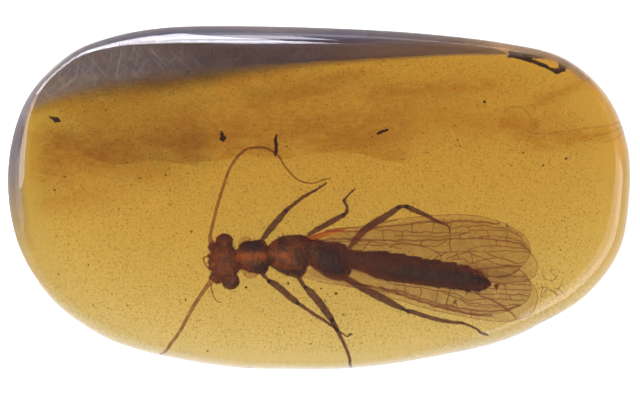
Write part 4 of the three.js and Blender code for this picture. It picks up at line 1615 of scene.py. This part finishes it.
class AMBER_OT_body(bpy.types.Operator):
    """Makes the stonefly's head, eyes, thorax and abdomen"""

    bl_idname = "amber.body"
    bl_label = "Body"

    def execute(self, context):
        material = cuticle_material(context.scene.amber_cuticle)
        head = [lofted(HEAD, 60, 48)]
        for x, y, r in LUMPS:
            head.append(ball(shown_at(x, y, axis_height(x) + LUMP_LIFT), (r * 1.2, r, r), 12, 16))
        settle(body_piece("head", head, material, 0.06, 0.16), "cuticle", "stonefly")
        eyes = []
        for x, y, a, b in EYES:
            eyes.append(ball(shown_at(x, y, axis_height(x) + SOFT_LIFT), (a, b, EYE_HALF_HEIGHT)))
        settle(body_piece("eyes", eyes, material, 0.05, 0.16), "cuticle")
        settle(body_piece("pronotum", [lofted(PRONOTUM, 80, 56)], material, 0.05, 0.18), "cuticle")
        points, faces = gathered([disc(smooth(outline, 40, closed=True), 4) for outline in FLANGES])
        places = [shown_at(x, y, axis_height(x) + SOFT_LIFT) for x, y in points]
        skin = tinted_material("flange", (0.4, 0.2, 0.2), (0.74, 0.52, 0.45), 0.12)
        settle(new_piece("flanges", places, faces, skin), "cuticle")
        thorax = [lofted(PTEROTHORAX, 110, 64), lofted(METATHORAX, 90, 64)]
        settle(body_piece("thorax", thorax, material, 0.055, 0.18), "cuticle")
        abdomen = [lofted(ABDOMEN, 260, 56, softly=False)]
        settle(body_piece("abdomen", abdomen, material, 0.075, 0.12), "cuticle")
        return {"FINISHED"}


class AMBER_OT_limbs(bpy.types.Operator):
    """Makes the legs, the antennae, the bristles and the palps"""

    bl_idname = "amber.limbs"
    bl_label = "Limbs"

    def execute(self, context):
        make_legs(tinted_material("limb skin", (0.13, 0.075, 0.15), (0.34, 0.2, 0.27), 0.16))
        horn = tinted_material("antenna skin", (0.36, 0.23, 0.22), (0.62, 0.44, 0.39), 0.3)
        make_antennae(horn)
        make_bristles()
        palps = [[(*shown_at(x, y, AXIS_HEIGHT), r) for x, y, r in smooth(palp, 40)] for palp in PALPS]
        settle(strands("palps", palps, 10, horn), "cuticle")
        return {"FINISHED"}


class AMBER_OT_wings(bpy.types.Operator):
    """Makes the four wings and their veins"""

    bl_idname = "amber.wings"
    bl_label = "Wings"

    def execute(self, context):
        film = wing_material(context.scene.amber_cuticle.wing_alpha)
        steps = 7
        margins = []
        for number, (height, (first, last), outline) in enumerate(WINGS):
            edge = smooth(outline, steps * len(outline), closed=True)
            points, faces = disc(edge, 10)
            places = []
            for x, y in points:
                ripple = 0.02 * math.sin(7 * y) + 0.015 * math.sin(2.5 * x)
                places.append(shown_at(x, y, height - WING_FALL * x + ripple))
            settle(new_piece(f"wing_{number + 1}", places, faces, film), "cuticle")
            margin = edge[steps * first : steps * last]
            margins.append([(*shown_at(x, y, height - WING_FALL * x), MARGIN_RADIUS) for x, y in margin])
        short = [[(x, y), (end_x, end_y)] for x, y, end_x, end_y in CROSSVEINS]
        veins = []
        for lines, radius in zip((STRONG_VEINS, VEINS + short), VEIN_RADIUS):
            for line in lines:
                path = [shown_at(x, y, VEIN_HEIGHT - WING_FALL * x) for x, y in smooth(line, 12 * len(line))]
                veins.append([(*point, radius) for point in roughened(path, 0.07, 0.35)])
        skin = tinted_material("vein", (0.52, 0.34, 0.44), (0.74, 0.55, 0.6), 0.3)
        settle(strands("wing_veins", veins + margins, 8, skin), "cuticle")
        return {"FINISHED"}


class AMBER_OT_fragments(bpy.types.Operator):
    """Makes the plant fragment and the dark splinters"""

    bl_idname = "amber.fragments"
    bl_label = "Fragments"

    def execute(self, context):
        bark = mottled_material("bark", (0.02, 0.008, 0.008), (0.16, 0.05, 0.02), 0.15)
        for name, stations in {"plant_fragment": FRAGMENT, **SPLINTERS}.items():
            path = smooth(stations, 12 * len(stations))
            places = [shown_at(x, y, LEVEL + LEVEL_RISE * y + FRAGMENT_LIFT) for x, y, _ in path]
            vertices, faces = tube(places, path[:, 2], 14)
            piece = new_piece(name + "_finish", roughened(vertices, 0.05, 0.12), faces, bark)
            outward(piece)
            settle(piece, "plant", name)
        return {"FINISHED"}


class AMBER_OT_inclusions(bpy.types.Operator):
    """Makes the dust, spots and threads in the amber"""

    bl_idname = "amber.inclusions"
    bl_label = "Inclusions"

    def execute(self, context):
        make_dust(context.scene.amber_dust)
        speck = mottled_material("speck", (0.05, 0.03, 0.02), (0.12, 0.06, 0.03), 0.2)
        make_spots(speck)
        make_threads(speck)
        return {"FINISHED"}


class AMBER_OT_flows(bpy.types.Operator):
    """Makes the stains and faint lines where the amber flowed, and what tints it elsewhere"""

    bl_idname = "amber.flows"
    bl_label = "Flows"

    def execute(self, context):
        make_stains()
        make_flow_lines()
        make_mottling()
        make_wing_root()
        return {"FINISHED"}


class AMBER_PT_panel(bpy.types.Panel):
    """Lists the steps that build the pebble"""

    bl_idname = "AMBER_PT_panel"
    bl_label = "Stonefly in Amber"
    bl_space_type = "VIEW_3D"
    bl_region_type = "UI"
    bl_category = "Amber"

    def draw(self, context):
        for step in STEPS:
            self.layout.operator(step.bl_idname)


GROUPS = {
    "amber_pebble": PebbleProperties, "amber_cuticle": CuticleProperties, "amber_dust": DustProperties,
    "amber_stage": StageProperties,
}
STEPS = (
    AMBER_OT_stage, AMBER_OT_pebble, AMBER_OT_body, AMBER_OT_limbs, AMBER_OT_wings, AMBER_OT_fragments,
    AMBER_OT_inclusions, AMBER_OT_flows,
)


def register():
    for group in (*GROUPS.values(), *STEPS, AMBER_PT_panel):
        bpy.utils.register_class(group)
    for name, group in GROUPS.items():
        setattr(bpy.types.Scene, name, PointerProperty(type=group))


def unregister():
    for name in GROUPS:
        delattr(bpy.types.Scene, name)
    for group in (AMBER_PT_panel, *reversed(STEPS), *GROUPS.values()):
        bpy.utils.unregister_class(group)


def main():
    noise.seed_set(NOISE_SEED)
    register()
    for step in STEPS:
        area, name = step.bl_idname.split(".")
        getattr(getattr(bpy.ops, area), name)()


if __name__ == "__main__":
    main()
